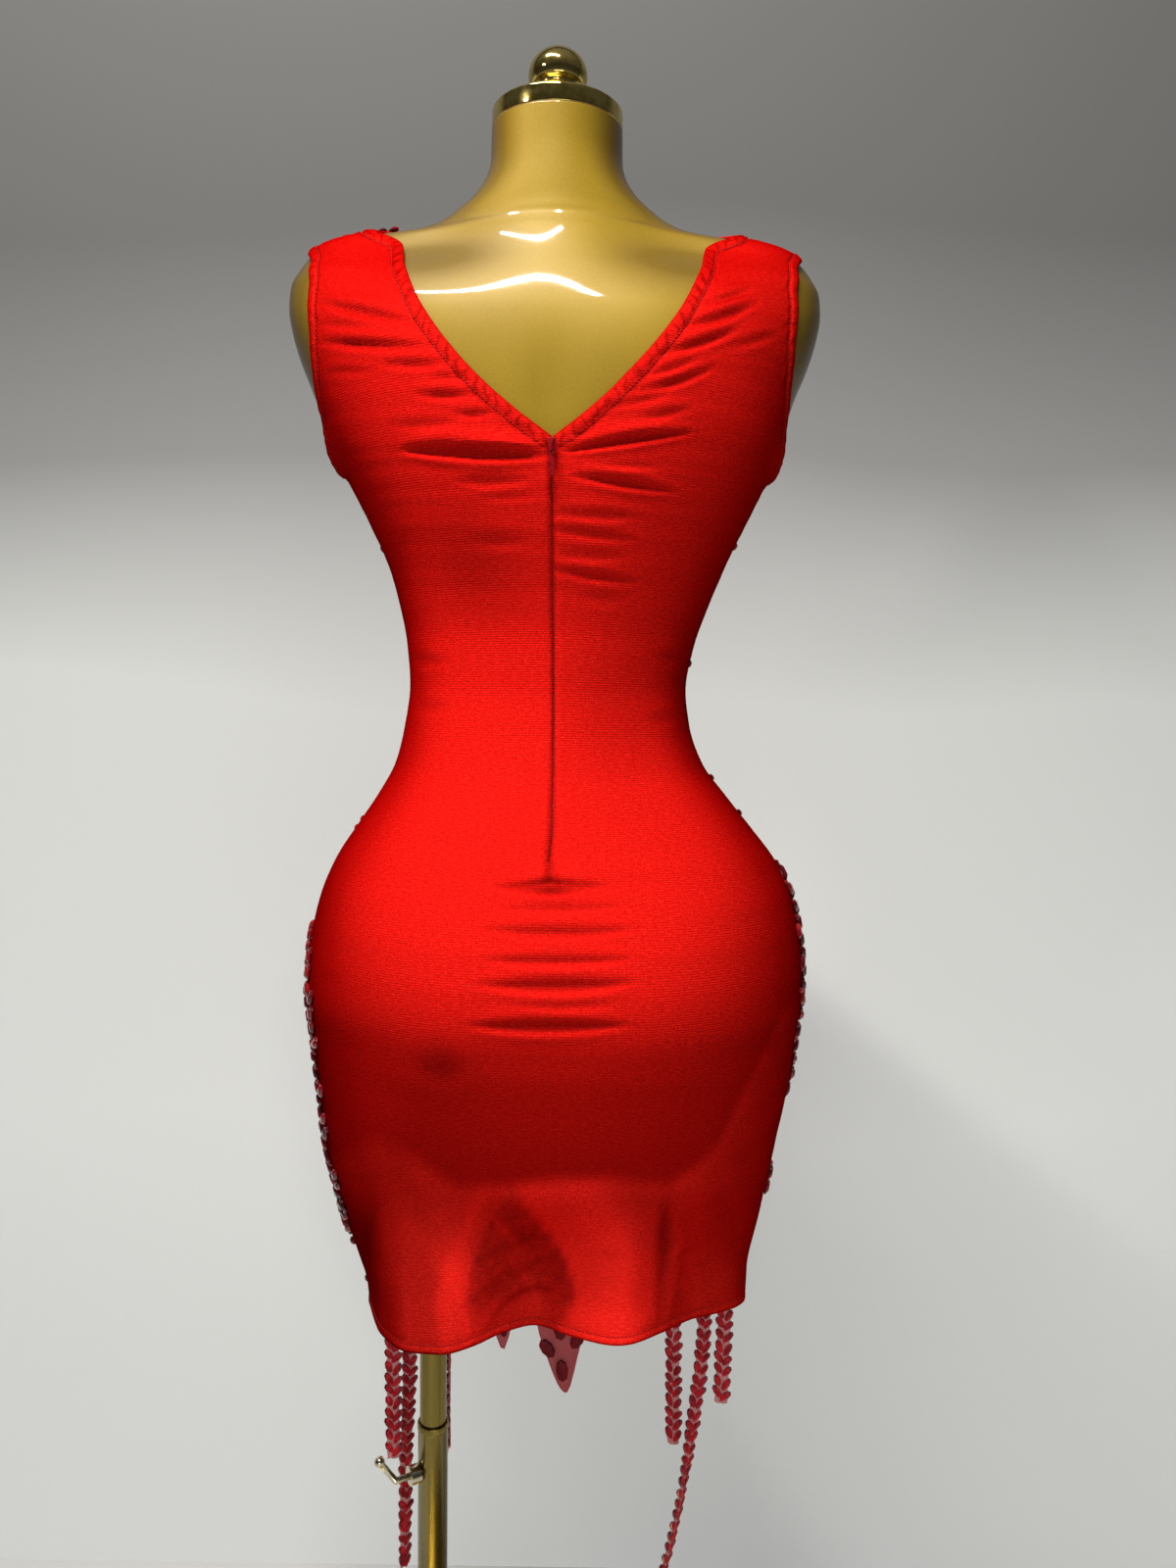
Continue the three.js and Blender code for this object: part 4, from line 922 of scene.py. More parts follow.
# painted shade in the creases' troughs
painted_shading_r = np.maximum(painted_shading_r, 0.3) * (1 - 0.24 * np.clip(-Hf / 2.2, 0, 1))
# painted shade under the seat
painted_seat_shade = smooth(864, 818, bz) * (1 - clear)
painted_shading_r = painted_shading_r * (1 - 0.25 * painted_seat_shade) * (1 - 0.30 * painted_patch(-66, 808, 17, 13))
# painted shade in the dimple below the zip's end and along the foot of the zip's line
painted_shading_r = painted_shading_r * (1 - 0.5 * painted_patch(6, 929.5, 10, 2.8)) * (1 - 0.5 * np.exp(-((np.abs(bx - zip_x(bz)) / 1.2) ** 2)) * smooth(933, 937, bz) * smooth(950, 946, bz))
# painted shadows on the upper left back, right of the zip at the waist, on the right hip, the right strap, the left
# side and the lower left skirt, and painted light at the lower left of the seat
painted_shading_r = painted_shading_r * (1 - 0.36 * painted_patch(-52, 1152, 36, 40, -0.2)) * (1 - 0.22 * painted_patch(44, 1062, 36, 60) * smooth(4, 10, bx))
painted_shading_r = painted_shading_r * (1 - 0.20 * painted_patch(150, 905, 30, 60)) * (1 - 0.14 * painted_patch(152, 1335, 30, 42)) * (1 - 0.16 * painted_patch(-162, 912, 20, 50))
painted_shading_r = painted_shading_r * (1 + 0.18 * painted_patch(-122, 778, 32, 36)) * (1 - 0.15 * painted_patch(-84, 655, 18, 45))
# the painted glow where no form backs the cloth is paler as well as lighter
painted_shading_g = painted_shading_r * (1 + clear * 0.6)
col = np.stack([painted_shading_r, painted_shading_g, painted_shading_g, np.ones_like(painted_shading_r)], -1)
Ef = E.reshape(-1, 4)[used]
for name_, k_ in (("neck_edge", 0), ("arm_edge", 2)):
    places_ = np.stack([Ef[:, k_], Ef[:, k_ + 1], np.zeros(len(Ef))], -1)
    attr_ = back.data.attributes.new(name=name_, type="FLOAT_VECTOR", domain="POINT")
    attr_.data.foreach_set("vector", np.concatenate([places_, places_]).ravel().astype(np.float32))
layer = back.data.color_attributes.new(name="painted_shading", type="FLOAT_COLOR", domain="POINT")
layer.data.foreach_set("color", np.concatenate([col, col]).ravel())

# ---------------------------------------------------------------- the dress front
FRONT_CREASES = [
    ([(-94, 1062), (-60, 1056), (-22, 1060)], 6.0, 1.2, 0.5),
    ([(20, 1070), (58, 1064), (92, 1068)], 6.0, 1.3, 0.5),
    ([(-88, 1034), (-50, 1030), (-10, 1034)], 5.5, 0.9, 0.5),
    ([(12, 1040), (50, 1036), (88, 1042)], 5.5, 1.0, 0.5),
    ([(-70, 1104), (-40, 1098), (-8, 1102)], 6.5, 0.9, 0.5),
    ([(-40, 1186), (0, 1178), (42, 1187)], 6.0, 1.3, 0.5),
    ([(-150, 1236), (-126, 1224), (-104, 1222)], 4.0, 1.4, 0.5),
    ([(150, 1238), (128, 1226), (106, 1224)], 4.0, 1.3, 0.5),
    ([(-40, 906), (4, 902), (44, 907)], 6.0, 1.0, 0.4),
    ([(-150, 690), (-140, 650), (-132, 596)], 8.0, 2.4, 0.4),
    ([(96, 700), (104, 650), (100, 596)], 8.5, 2.6, 0.4),
    ([(-40, 716), (-46, 660), (-52, 600)], 10.0, 1.8, 0.3),
]
F_COLS, F_SIDE, F_TOP = ((56, 200, 62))
FA, FT, fu = panel_grid(SCOOP_FRONT, F_COLS, F_SIDE, F_TOP, bias=1.35)
parts_f = []
for side in (1, -1):
    ang = -FA if side > 0 else -(math.pi - FA)
    Pq, Nq = spot(dress_loft, ang, FT)
    seam_edges(Pq, Nq, F_SIDE, 1)
    parts_f.append((Pq, Nq))
P = np.concatenate([parts_f[1][0][:, ::-1], parts_f[0][0]], 1).copy()
N = np.concatenate([parts_f[1][1][:, ::-1], parts_f[0][1]], 1).copy()


def front_drop(p):
    """The lower rows stretch down to the hem's own line."""
    w = np.clip((HANG_Z - p[..., 2]) / (HANG_Z - HEM_Z), 0, 1)
    q = p.copy()
    q[..., 2] += (hem_front_z(p[..., 0]) - HEM_Z) * w * w
    return q


neck_f = {1: parts_f[0][0][F_SIDE:, 0], -1: parts_f[1][0][F_SIDE:, 0]}
arm_f = {1: parts_f[0][0][F_SIDE:, -1], -1: parts_f[1][0][F_SIDE:, -1]}
flat = P.reshape(-1, 3)
Hq = creases(flat, FRONT_CREASES)
for s in (1, -1):
    mask = (flat[:, 0] * s >= 0)
    d, sl = line_distance(flat, neck_f[s])
    t_ = np.zeros(len(flat))
    edge_band(t_, d, sl, 6.0, 0.6, 0.4, 0.15, 9.0, 2 + s)
    Hq += np.where(mask, t_, 0)
    d, sl = line_distance(flat, arm_f[s])
    t_ = np.zeros(len(flat))
    edge_band(t_, d, sl, 6.0, 0.6, 0.4, 0.15, 8.0, 6 + s)
    Hq += np.where(mask, t_, 0)
dropped = front_drop(P)
# a lively lower edge
lowz = np.clip((700 - dropped[..., 2]) / 120, 0, 1.6)
Hq = Hq.reshape(P.shape[:2]) + lowz * 1.6 * np.sin(P[..., 0] / 17.0 + 0.6)
ident = np.arange(P.shape[0] * P.shape[1]).reshape(P.shape[:2])
join = ident.copy()
fl, fr = F_COLS, F_COLS + 1
merge = np.arange(P.shape[0]) <= F_SIDE
join[merge, fr] = join[merge, fl]
faces = []
for i in range(P.shape[0] - 1):
    for j in range(P.shape[1] - 1):
        if j == fl:
            continue
        faces.append((join[i, j], join[i + 1, j], join[i + 1, j + 1], join[i, j + 1]))
used = np.unique(np.array(faces))
remap = np.full(P.shape[0] * P.shape[1], -1)
remap[used] = np.arange(len(used))
faces = [tuple(int(remap[k]) for k in f) for f in faces]
Pf, Nf, Hf = dropped.reshape(-1, 3)[used], N.reshape(-1, 3)[used], Hq.reshape(-1)[used]
row_len = np.concatenate([[0], np.cumsum(np.linalg.norm(np.diff(P[:, fl + F_COLS // 2], axis=0), axis=1))])
col_len = np.concatenate([np.zeros((P.shape[0], 1)), np.cumsum(np.linalg.norm(np.diff(P, axis=1), axis=2), axis=1)], 1)
uv = np.stack([(col_len - col_len[:, [fl]]), np.broadcast_to(row_len[:, None], col_len.shape)], -1).reshape(-1, 2)[used] / 1000
NET = 0.35
off = CLOTH_GAP + 0.5 + Hf
off = np.maximum(off, 1.1)
verts, allf = shell(Pf, Nf, faces, off - NET, off)
front = new_object("mesh_front", verts, allf, net, "form", uv=np.concatenate([uv, uv]), replaces=("front_panel",))

# ---------------------------------------------------------------- cut stones
def marquise(long, wide, high, n=4):
    """A faceted leaf-shaped stone along +Y, its flat back on Z=0: vertices and faces."""
    pts = []
    for side in (1, -1):
        for k in range(n):
            u = k / n
            y = long / 2 * math.cos(math.pi * u)
            x = side * wide / 2 * math.sin(math.pi * u) ** 0.85 * 1.0
            pts.append((x, y) if side > 0 else (x, -y))
    ring = np.array(pts)
    m = len(ring)
    low = np.c_[ring * 0.94, np.zeros(m)]
    girdle = np.c_[ring, np.full(m, high * 0.30)]
    mid = np.c_[ring * [0.74, 0.80], np.full(m, high * 0.72)]
    mid = (mid + np.roll(mid, -1, 0)) / 2 * [1.04, 1.02, 1]
    table = np.c_[ring * [0.40, 0.50], np.full(m, high)]
    v = np.concatenate([low, girdle, mid, table])
    f = []
    for j in range(m):
        k = (j + 1) % m
        f.append((j, m + j, m + k, k))
        f.append((m + j, 2 * m + j, m + k))
        f.append((m + k, 2 * m + j, 2 * m + k))
        f.append((2 * m + j, 3 * m + k, 2 * m + k))
        f.append((2 * m + j, 3 * m + j, 3 * m + k))
    f.append(tuple(range(m)))
    f.append(tuple(3 * m + j for j in reversed(range(m))))
    f = [tuple(reversed(q)) for q in f]
    return v, f


def signed_volume(v, f):
    t = 0.0
    for q in f:
        for i in range(1, len(q) - 1):
            t += np.dot(v[q[0]], np.cross(v[q[i]], v[q[i + 1]]))
    return t


STONES = {}


def stone_base(kind):
    if kind not in STONES:
        long, wide, high = kind
        v, f = marquise(long, wide, high, 4)
        if signed_volume(v, f) < 0:
            f = [tuple(reversed(q)) for q in f]
        STONES[kind] = (v, f)
    return STONES[kind]


def set_stones(name, places, material_, body):
    """Joined stones. Each place is (kind, point, normal, direction)."""
    verts, faces, n = [], [], 0
    for kind, p, nrm, d in places:
        v, f = stone_base(kind)
        nrm = np.array(nrm, float)
        nrm /= np.linalg.norm(nrm)
        d = np.array(d, float)
        d -= nrm * (d @ nrm)
        d /= max(np.linalg.norm(d), 1e-9)
        x = np.cross(d, nrm)
        verts.append(np.array(p) + v[:, [0]] * x + v[:, [1]] * d + v[:, [2]] * nrm)
        faces += [tuple(i + n for i in q) for q in f]
        n += len(v)
    return new_object(name, np.concatenate(verts), faces, material_, body, smooth_faces=False)


def front_spot(x_angle, t, lift=0.0):
    """A point on the front's outer face with its normal and the upward direction in the cloth."""
    p, n_ = spot(dress_loft, x_angle, t)
    p2, _ = spot(dress_loft, x_angle, np.minimum(t + 3.0, dress_loft.length))
    p, p2 = front_drop(p), front_drop(p2)
    up = p2 - p
    up /= np.linalg.norm(up)
    return p + n_ * (CLOTH_GAP + 0.75 + lift), n_, up


def inside_front(p, t, margin):
    """True where a stone's centre lies on the panel, clear of its neck and armholes."""
    x, z = abs(p[0]), p[2]
    if z > ARMPIT_Z - 2:
        pts = np.array([(a_, b_) for a_, b_ in ARMHOLE] + [(178, 1384)])
        edge = np.interp(z, pts[:, 1], pts[:, 0])
        if x > edge - margin:
            return False
    pts = np.array([(a_, b_) for a_, b_ in SCOOP_FRONT] + [(113, 1396)])
    if z > pts[0, 1] - margin:
        edge = np.interp(z, pts[:, 1], pts[:, 0])
        if x < edge + margin:
            return False
    return True


def front_at(x, z, lift=0.0):
    """The front's outer face at a place seen square on in X and Z, its points below included."""
    lo, hi = 0.0, float(dress_loft.t_of_z(1392))
    for _ in range(40):
        t = (lo + hi) / 2
        d = x - float(dress_loft.cx(t))
        k = min(abs(d) / float(dress_loft.half(t)), 1.0) ** (float(dress_loft.pow(t)) / 2)
        a = -math.acos(math.copysign(k, d))
        if front_drop(point(dress_loft, a, t))[2] < z:
            lo = t
        else:
            hi = t
    return front_spot(a, t, lift)


rng = np.random.RandomState(7)
places = []
LEFT_RUNS, RIGHT_RUNS = [(638, 887)], [(757, 935), (678, 699)]


def in_runs(z, runs):
    return any(a_ <= z <= b_ for a_, b_ in runs)


t_high = float(dress_loft.t_of_z(1392))
VINES = 15
for k in range(VINES):
    base = (k + 0.5) / VINES  # share of the way round the front from the right side to the left
    phase = rng.rand() * 6.28
    top_z = {0: 1390, 1: 1120, 2: 1385}.get(k % 3)
    t = 4.0 + rng.rand() * 4
    step = 0
    while t < float(dress_loft.t_of_z(top_z)):
        zz = float(dress_loft.z(t))
        sway = 0.020 * math.sin(t / 46.0 + phase) + 0.010 * math.sin(t / 19.0 + 2 * phase)
        share = base + sway
        if k in (0, VINES - 1):
            share = (0.075, 0.925)[k > 0] + 0.4 * sway
        a = -(0.03 + share * (math.pi - 0.06))
        # stones grow towards the hem
        grow = 1.0 + 0.50 * float(smooth(760, 600, zz)) - 0.20 * float(smooth(960, 1080, zz))
        kind = (round(13.5 * grow, 0), round(6.6 * grow, 1), 2.6)
        p, n_, up = front_spot(a, t)
        sidev = np.cross(n_, up)
        gap = kind[0] * 0.86
        keep = inside_front(p, t, 4.0) and not (p[2] < 572)
        if k in (0, VINES - 1) and zz > 1180:
            keep = False
        if zz > 1000 and (k % 3 == 1) and step % 2:
            keep = False
        if keep:
            for s in (1, -1):
                tilt = math.radians(34 + 8 * math.sin(step * 1.3 + k))
                d = up * math.cos(tilt) + s * sidev * math.sin(tilt)
                q = p + s * sidev * kind[1] * 0.62 + up * (gap * 0.5 * (s > 0)) * 0.5
                places.append((kind, q, n_ + s * sidev * 0.10, d))
        t += gap
        step += 1
# small stones between the vines
SMALL = (5.0, 4.2, 2.0)
for k in range(VINES - 1):
    t = 8.0
    while t < t_high:
        zz = float(dress_loft.z(t))
        dense = 0.9 if zz < 960 else 0.45
        if rng.rand() < dense:
            share = (k + 1.0) / VINES + 0.012 * rng.randn()
            a = -(0.03 + share * (math.pi - 0.06))
            p, n_, up = front_spot(a, t)
            if inside_front(p, t, 4.0) and not (zz > 1060 and k % 2) and p[2] > 580:
                th = rng.rand() * 6.28
                places.append((SMALL, p, n_, up * math.cos(th) + np.cross(n_, up) * math.sin(th)))
        t += 9.5 + 4 * rng.rand()
# larger stones in the hem's two points
point_backs = []
for x, z, turn, size in ((15, 459, 6, 1.0), (1.5, 480, 38, 1.0), (28.5, 489, -34, 1.0), (12.5, 497, 4, 1.0), (34, 520, -28, 1.0), (18, 527, -8, 1.0),
                         (1, 512, 24, 0.9), (30, 552, -16, 1.0), (8, 555, 12, 1.0), (-37, 500, 2, 0.8), (-45, 523, 26, 0.8), (-31, 529, -22, 0.8),
                         (-40, 555, 8, 0.9), (-22, 556, -14, 0.9)):
    p, n_, up = front_at(x, z, -0.2)
    w = math.radians(turn)
    kind = (round(19 * size, 1), round(10.8 * size, 1), 3.0)
    for face in (1, -1):  # set on the face, backed by a flat pad behind
        q = p if face > 0 else p - n_ * 1.15
        (places if face > 0 else point_backs).append((kind if face > 0 else (kind[0], kind[1], 1.2), q, n_ * face, up * math.cos(w) - np.cross(n_, up) * math.sin(w)))
# a row along the neck and the armholes
EDGE_KIND = (10.0, 5.4, 2.6)
for line in (neck_f[1], neck_f[-1], arm_f[1], arm_f[-1]):
    seg = np.concatenate([[0], np.cumsum(np.linalg.norm(np.diff(line, axis=0), axis=1))])
    for s in np.arange(5, seg[-1] - 9, 9.0):
        p = np.array([np.interp(s, seg, line[:, i]) for i in range(3)])
        p2 = np.array([np.interp(s + 2, seg, line[:, i]) for i in range(3)])
        d = p2 - p
        d /= np.linalg.norm(d)
        t = float(dress_loft.t_of_z(p[2]))
        # the nearest surface normal
        aa = -float(angle_at(dress_loft, abs(p[0] - float(dress_loft.cx(t))), t))
        if p[0] < 0:
            aa = -(math.pi + aa)
        _, n_ = spot(dress_loft, aa, t)
        inward = np.cross(d, n_)
        if (inward @ (np.array([0, 60, 1150]) - p)) < 0:
            inward = -inward
        places.append((EDGE_KIND, p + inward * 4.5 + n_ * (CLOTH_GAP + 0.9), n_, d + inward * 0.55))
stones_obj = set_stones("front_stones", places, stone, "form")
stone_backs = set_stones("front_stone_backs", point_backs, back_mat, "form")

# stones that lap over the seams
seam_places = []
for side in (1, -1):
    for i, x in enumerate(np.arange(119, 172, 8.8)):
        t = t_at_half(dress_loft, x)
        a = -0.03 if side > 0 else -(math.pi - 0.03)
        p, n_ = spot(dress_loft, a, t)
        n_ = np.array([n_[0], 0.0, abs(n_[2]) + 1e-6])
        n_ /= np.linalg.norm(n_)
        over_ = side < 0 and i in (0, 1, 3, 4)
        at_y = -4.5 if over_ else 4.5
        lift = CLOTH_GAP + (2.1 if over_ else 1.25)
        seam_places.append(((10.5, 5.6, 2.8), p + n_ * lift + np.array([0, at_y, 0]), n_, (0.9 * side, 0.6, 0)))


def seam_stone(side, z, off, tilt, kind, lift=1.35):
    t = float(dress_loft.t_of_z(z))
    a = off if side > 0 else math.pi - off
    p, n_ = spot(dress_loft, a, t, off > 0)
    p2, _ = spot(dress_loft, a, t + 3, off > 0)
    up = (p2 - p) / np.linalg.norm(p2 - p)
    sv = np.cross(n_, up)
    w = math.radians(tilt)
    base_off = CLOTH_GAP + (lift if off <= 0 else lift + 0.05)
    seam_places.append((kind, p + n_ * base_off, n_, up * math.cos(w) + sv * math.sin(w)))


for side, runs in ((-1, LEFT_RUNS), (1, RIGHT_RUNS)):
    columns = (0.35, 0.27, 0.19, 0.11, 0.03, -0.05, -0.13) if side < 0 else (0.235, 0.16, 0.085, 0.01, -0.07)
    for ci, off in enumerate(columns):
        for lo, hi in runs:
            z = lo + 3 + 5 * (ci % 2)
            while z < hi:
                size = 0.85 + 0.30 * rng.rand()
                kind = (round(13.0 * size, 0), round(6.8 * size, 1), 3.4)
                # the inner edge is broken, and the run narrows at both ends
                room = min(z - lo, hi - z)
                gone = ci == 0 and (rng.rand() < 0.35 or room < 40) or ci == 1 and room < 16
                if not gone:
                    seam_stone(side, z, off + 0.012 * rng.randn(), (34 if ci % 2 else -30) + 12 * rng.randn(), kind)
                if rng.rand() < 0.4 and not gone:
                    seam_stone(side, z + 5, off + 0.04, 90 * rng.rand(), (5.0, 4.2, 2.4))
                z += kind[0] * 0.86
# single ones that stand out along the sides
for side, z in ((-1, 962), (-1, 955), (-1, 1172), (1, 1178), (1, 1088), (1, 998), (1, 971)):
    seam_stone(side, z, -0.035, 25 * side, (6.5, 4.4, 2.0))
# sparse small ones down to the left corner of the hem
for z in np.arange(592, 638, 7.0):
    seam_stone(-1, z, -0.02 + 0.02 * rng.randn(), 40 * rng.randn(), (7.0, 4.2, 2.6))
seam_stones = set_stones("seam_stones", seam_places, stone, "form")

# ---------------------------------------------------------------- hanging strips
STRIPS = [
    # name, y, width seen, points of the centre line in X and Z, turn from face-on at the top and the foot
    ("strip_left_outer", 40, 12, [(-127, 583.5), (-127, 500), (-126.5, 410)], 0, 12),
    ("strip_left_inner", 55, 10.5, [(-114.5, 583.5), (-115.5, 480), (-118.5, 400), (-119, 300)], 6, 46),
    ("strip_left_back", 79, 11, [(-84.5, 583.5), (-84.5, 500), (-84, 392)], 90, 90),
    ("strip_right_inner", 78, 13, [(111, 583.5), (112.5, 500), (114.5, 400)], 0, -8),
    ("strip_right_middle", 60, 11.5, [(138.5, 583.5), (136.5, 504), (134, 472), (130, 440), (126.5, 408), (120, 360), (114, 327), (108, 299), (102, 272)], 0, 60),
    ("strip_right_outer", 42, 13, [(152, 583.5), (152, 530), (151, 462)], 6, -14),
]
strip_objs = []
for si, (name, y, across, pts, turn0, turn1) in enumerate(STRIPS):
    pts = np.array(pts, float)
    order = np.argsort(pts[:, 1])
    fx = Through(pts[order, 1], pts[order, 0])
    z0, z1 = pts[-1, 1], pts[0, 1]

    def across_at(z):
        """The strip's own width direction and its rear face's normal at a height."""
        k = smooth(0, 1, (z1 - z) / (z1 - z0))
        w = np.radians(turn0 + (turn1 - turn0) * k + 7 * np.sin(z / 23.0 + si))
        e = np.stack([np.cos(w), np.sin(w), np.zeros_like(w)], -1)
        n_ = np.stack([np.sin(w), -np.cos(w), np.zeros_like(w)], -1)
        return e, n_

    def centre_at(z):
        return np.stack([fx(z), y + 0.7 * np.sin(z / 31.0 + si), z + 0 * fx(z)], -1)

    # a strip of mesh that the stones are sewn to, frayed at its foot
    zs = np.linspace(z0 + 1.0, z1 - 0.2, 150)
    xs = fx(zs)
    ex, nx = across_at(zs)
    c = centre_at(zs)
    lanes = np.linspace(-1, 1, 5)
    wide = 5.2 + 0.35 * wander(zs, 9.0, si)
    grid = np.stack([c + ex * (wide * v_)[:, None] + nx * (0.35 * np.sin(zs / 7.0 + 2 * v_))[:, None] for v_ in lanes], 1)
    fray = 3.2 * hash01(np.arange(5) + 3.1 * si) * np.array([1, 0.4, 1, 0.3, 1])
    grid[0, :, 2] += fray
    grid[1, :, 2] += fray * 0.6
    nor = np.broadcast_to(nx[:, None, :], grid.shape)
    fcs = sheet_faces(len(zs), 5, False)
    vv, ff = shell(grid, nor, fcs, -0.15, 0.15)
    uvs = np.tile(np.stack([np.broadcast_to((lanes + 1) * 0.0052, (len(zs), 5)), np.broadcast_to(zs[:, None] / 1000, (len(zs), 5))], -1).reshape(-1, 2), (2, 1))
    ribbon = new_object(name + "_ribbon", vv, ff, strip_net, "form", uv=uvs)
    pads, gems = [], []
    z = z1 - 6.5
    i = 0
    while z > z0 + 7.0:
        for s in (1, -1):
            zz = z - (3.2 if s > 0 else 0)
            e, n_ = (v_[0] for v_ in across_at(np.array([zz])))
            at = centre_at(np.array([zz]))[0]
            slope = (float(fx(zz + 3)) - float(fx(zz - 3))) / 6.0
            up = np.array([slope, 0, 1.0]) / math.hypot(slope, 1)
            tilt = math.radians(30 + 10 * math.sin(i * 2.1 + si) + 6 * s)
            d = up * math.cos(tilt) + s * e * math.sin(tilt)
            long = 11.2 + 1.4 * math.sin(i * 1.7 + 2 * si + s)
            at = at + s * e * (across * 0.245)
            pads.append(((round(long, 0), 5.2, 0.9), at + n_ * 0.45, n_ + s * e * 0.10, d))
            gems.append(((round(long + 0.4, 0), 5.8, 2.8), at - n_ * 0.16 + s * e * 0.7, -n_ + s * e * 0.35, d))
        z -= 10.3 + 1.1 * math.sin(i * 1.9 + si)
        i += 1
    back_pads = set_stones(name + "_pads", pads, pad_mat, "form")
    so = set_stones(name + "_stones", gems, stone, "form")
    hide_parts(name)
    strip_objs.append((ribbon, so, back_pads, zs, xs))

# ---------------------------------------------------------------- topstitching
def stitches(name, lines, length=2.3, pitch=3.0, radius=0.28):
    """Short raised stitches along lines of (points, normals)."""
    verts, faces, n = [], [], 0
    for pts, nor in lines:
        seg = np.concatenate([[0], np.cumsum(np.linalg.norm(np.diff(pts, axis=0), axis=1))])
        for s in np.arange(1.5, seg[-1] - 1.5, pitch):
            a = np.array([np.interp(s, seg, pts[:, i]) for i in range(3)])
            b = np.array([np.interp(s + length, seg, pts[:, i]) for i in range(3)])
            nn = np.array([np.interp(s, seg, nor[:, i]) for i in range(3)])
            nn /= np.linalg.norm(nn)
            d = b - a
            if np.linalg.norm(d) < 0.5:
                continue
            d /= np.linalg.norm(d)
            x = np.cross(d, nn)
            ring = []
            for u, r, up_ in ((0, 0.35, -0.25), (0.22, 1, 0.0), (0.78, 1, 0.0), (1, 0.35, -0.25)):
                c_ = a + (b - a) * u + nn * up_ * 0.6
                ring.append([c_ + x * radius * r * math.cos(w) + nn * radius * r * math.sin(w) for w in np.arange(6) * math.pi / 3])
            for r_ in ring:
                verts += r_
            for i in range(3):
                for j in range(6):
                    k = (j + 1) % 6
                    faces.append((n + i * 6 + j, n + i * 6 + k, n + (i + 1) * 6 + k, n + (i + 1) * 6 + j))
            faces.append(tuple(n + j for j in reversed(range(6))))
            faces.append(tuple(n + 18 + j for j in range(6)))
            n += 24
    o = new_object(name, verts, faces, thread, "form")
    bm = bmesh.new()
    bm.from_mesh(o.data)
    bmesh.ops.recalc_face_normals(bm, faces=bm.faces)
    bm.to_mesh(o.data)
    bm.free()
    return o


def iso_line(P, N, H, dist, target, rows, from_inner=True):
    """Where a row of the grid crosses a given distance from an edge: points and normals on the outer face."""
    pts, nor = [], []
    for i in rows:
        d = dist[i]
        line = range(len(d) - 1) if from_inner else range(len(d) - 2, -1, -1)
        for j in line:
            a, b = d[j], d[j + 1]
            if (a - target) * (b - target) <= 0 and a != b:
                u = (target - a) / (b - a)
                p = P[i, j] * (1 - u) + P[i, j + 1] * u
                n_ = N[i, j] * (1 - u) + N[i, j + 1] * u
                h_ = H[i, j] * (1 - u) + H[i, j + 1] * u
                n_ = n_ / np.linalg.norm(n_)
                pts.append(p + n_ * (CLOTH_GAP + BACK_WALL + h_ + 0.12))
                nor.append(n_)
                break
    return np.array(pts), np.array(nor)


lines = []
for (P_, N_), H_, side in zip(halves, full_h, (1, -1)):
    shp = P_.shape[:2]
    dn, _ = line_distance(P_.reshape(-1, 3), neck_line[side])
    da, _ = line_distance(P_.reshape(-1, 3), arm_line[side])
    lines.append(iso_line(P_, N_, H_, dn.reshape(shp), 9.0, range(C_SIDE - 4, shp[0]), True))
    lines.append(iso_line(P_, N_, H_, da.reshape(shp), 7.0, range(C_SIDE - 4, shp[0]), False))
    # hem: a line at its own height
    z_row = P_[:, :, 2]
    i0 = int(np.argmin(np.abs(z_row[:, 0] - (HEM_Z + 5.4))))
    pr = P_[i0] + N_[i0] * (CLOTH_GAP + BACK_WALL + H_[i0] + 0.12)[:, None]
    lines.append((pr, N_[i0]))
lines = [(a_, b_) for a_, b_ in lines if len(a_) > 3]
topstitch = stitches("topstitching", lines)

# ---------------------------------------------------------------- the zip
tape = from_cad("zip_tape", "form", tape_mat, bevel=0)
# the top of the tape lies close to the form, under the creases that meet at the neck's point
for vert in tape.data.vertices:
    if abs(vert.co.x) > 0.0013 and vert.co.z > 1.19:
        vert.co.y += 0.00045
slider = from_cad("zip_slider", "form", zip_mat, bevel=0.00028, segments=2)
pull = from_cad("zip_pull", "pull", zip_mat, bevel=0.00030, segments=3)

# ---------------------------------------------------------------- the stand
PX = -87.5
base = lathe("base", rounded([(0, 0), (188, 0), (190, 2), (190, 6), (188, 8), (0, 8)], 1.2, 4), 160, brass, "stand", replaces=("base_plate",))
outer = lathe("outer_sleeve", [(10.95, 8.3), (12.0, 8.3), (12.0, 467.6), (12.15, 467.9), (12.4, 468.3), (12.5, 469), (12.5, 473.2), (12.3, 473.8), (11.9, 474), (11.2, 474), (10.95, 473.7), (10.95, 8.3)],
              64, brass, "stand", at=(PX, 0), replaces=("outer_tube",))
inner = lathe("inner_sleeve", rounded([(0, 120), (10.6, 120), (10.6, 689.6), (0, 689.6)], 0.8), 64, brass, "form", at=(PX, 0), replaces=("inner_tube",))
boss = from_cad("clamp_boss", "stand", pale, bevel=0.0008, segments=3)
handle = from_cad("clamp_handle", "clamp", pale, bevel=0)

# ---------------------------------------------------------------- stage and light
def stage_mat(name, colour, rough):
    m, t, b = material(name, colour, rough)
    t.links.new(ramp(t, noise(t, texture_at(t, (1, 1, 1)), 1.2, 3.0), [(0.3, tuple(c * 0.97 for c in colour)), (0.7, tuple(min(1, c * 1.02) for c in colour))]), b.inputs["Base Color"])
    return m


def plane(name, corners, mat):
    me = bpy.data.meshes.new(name)
    me.from_pydata(corners, [], [(0, 1, 2, 3)])
    me.materials.append(mat)
    o = bpy.data.objects.new(name, me)
    scene.collection.objects.link(o)
    return o


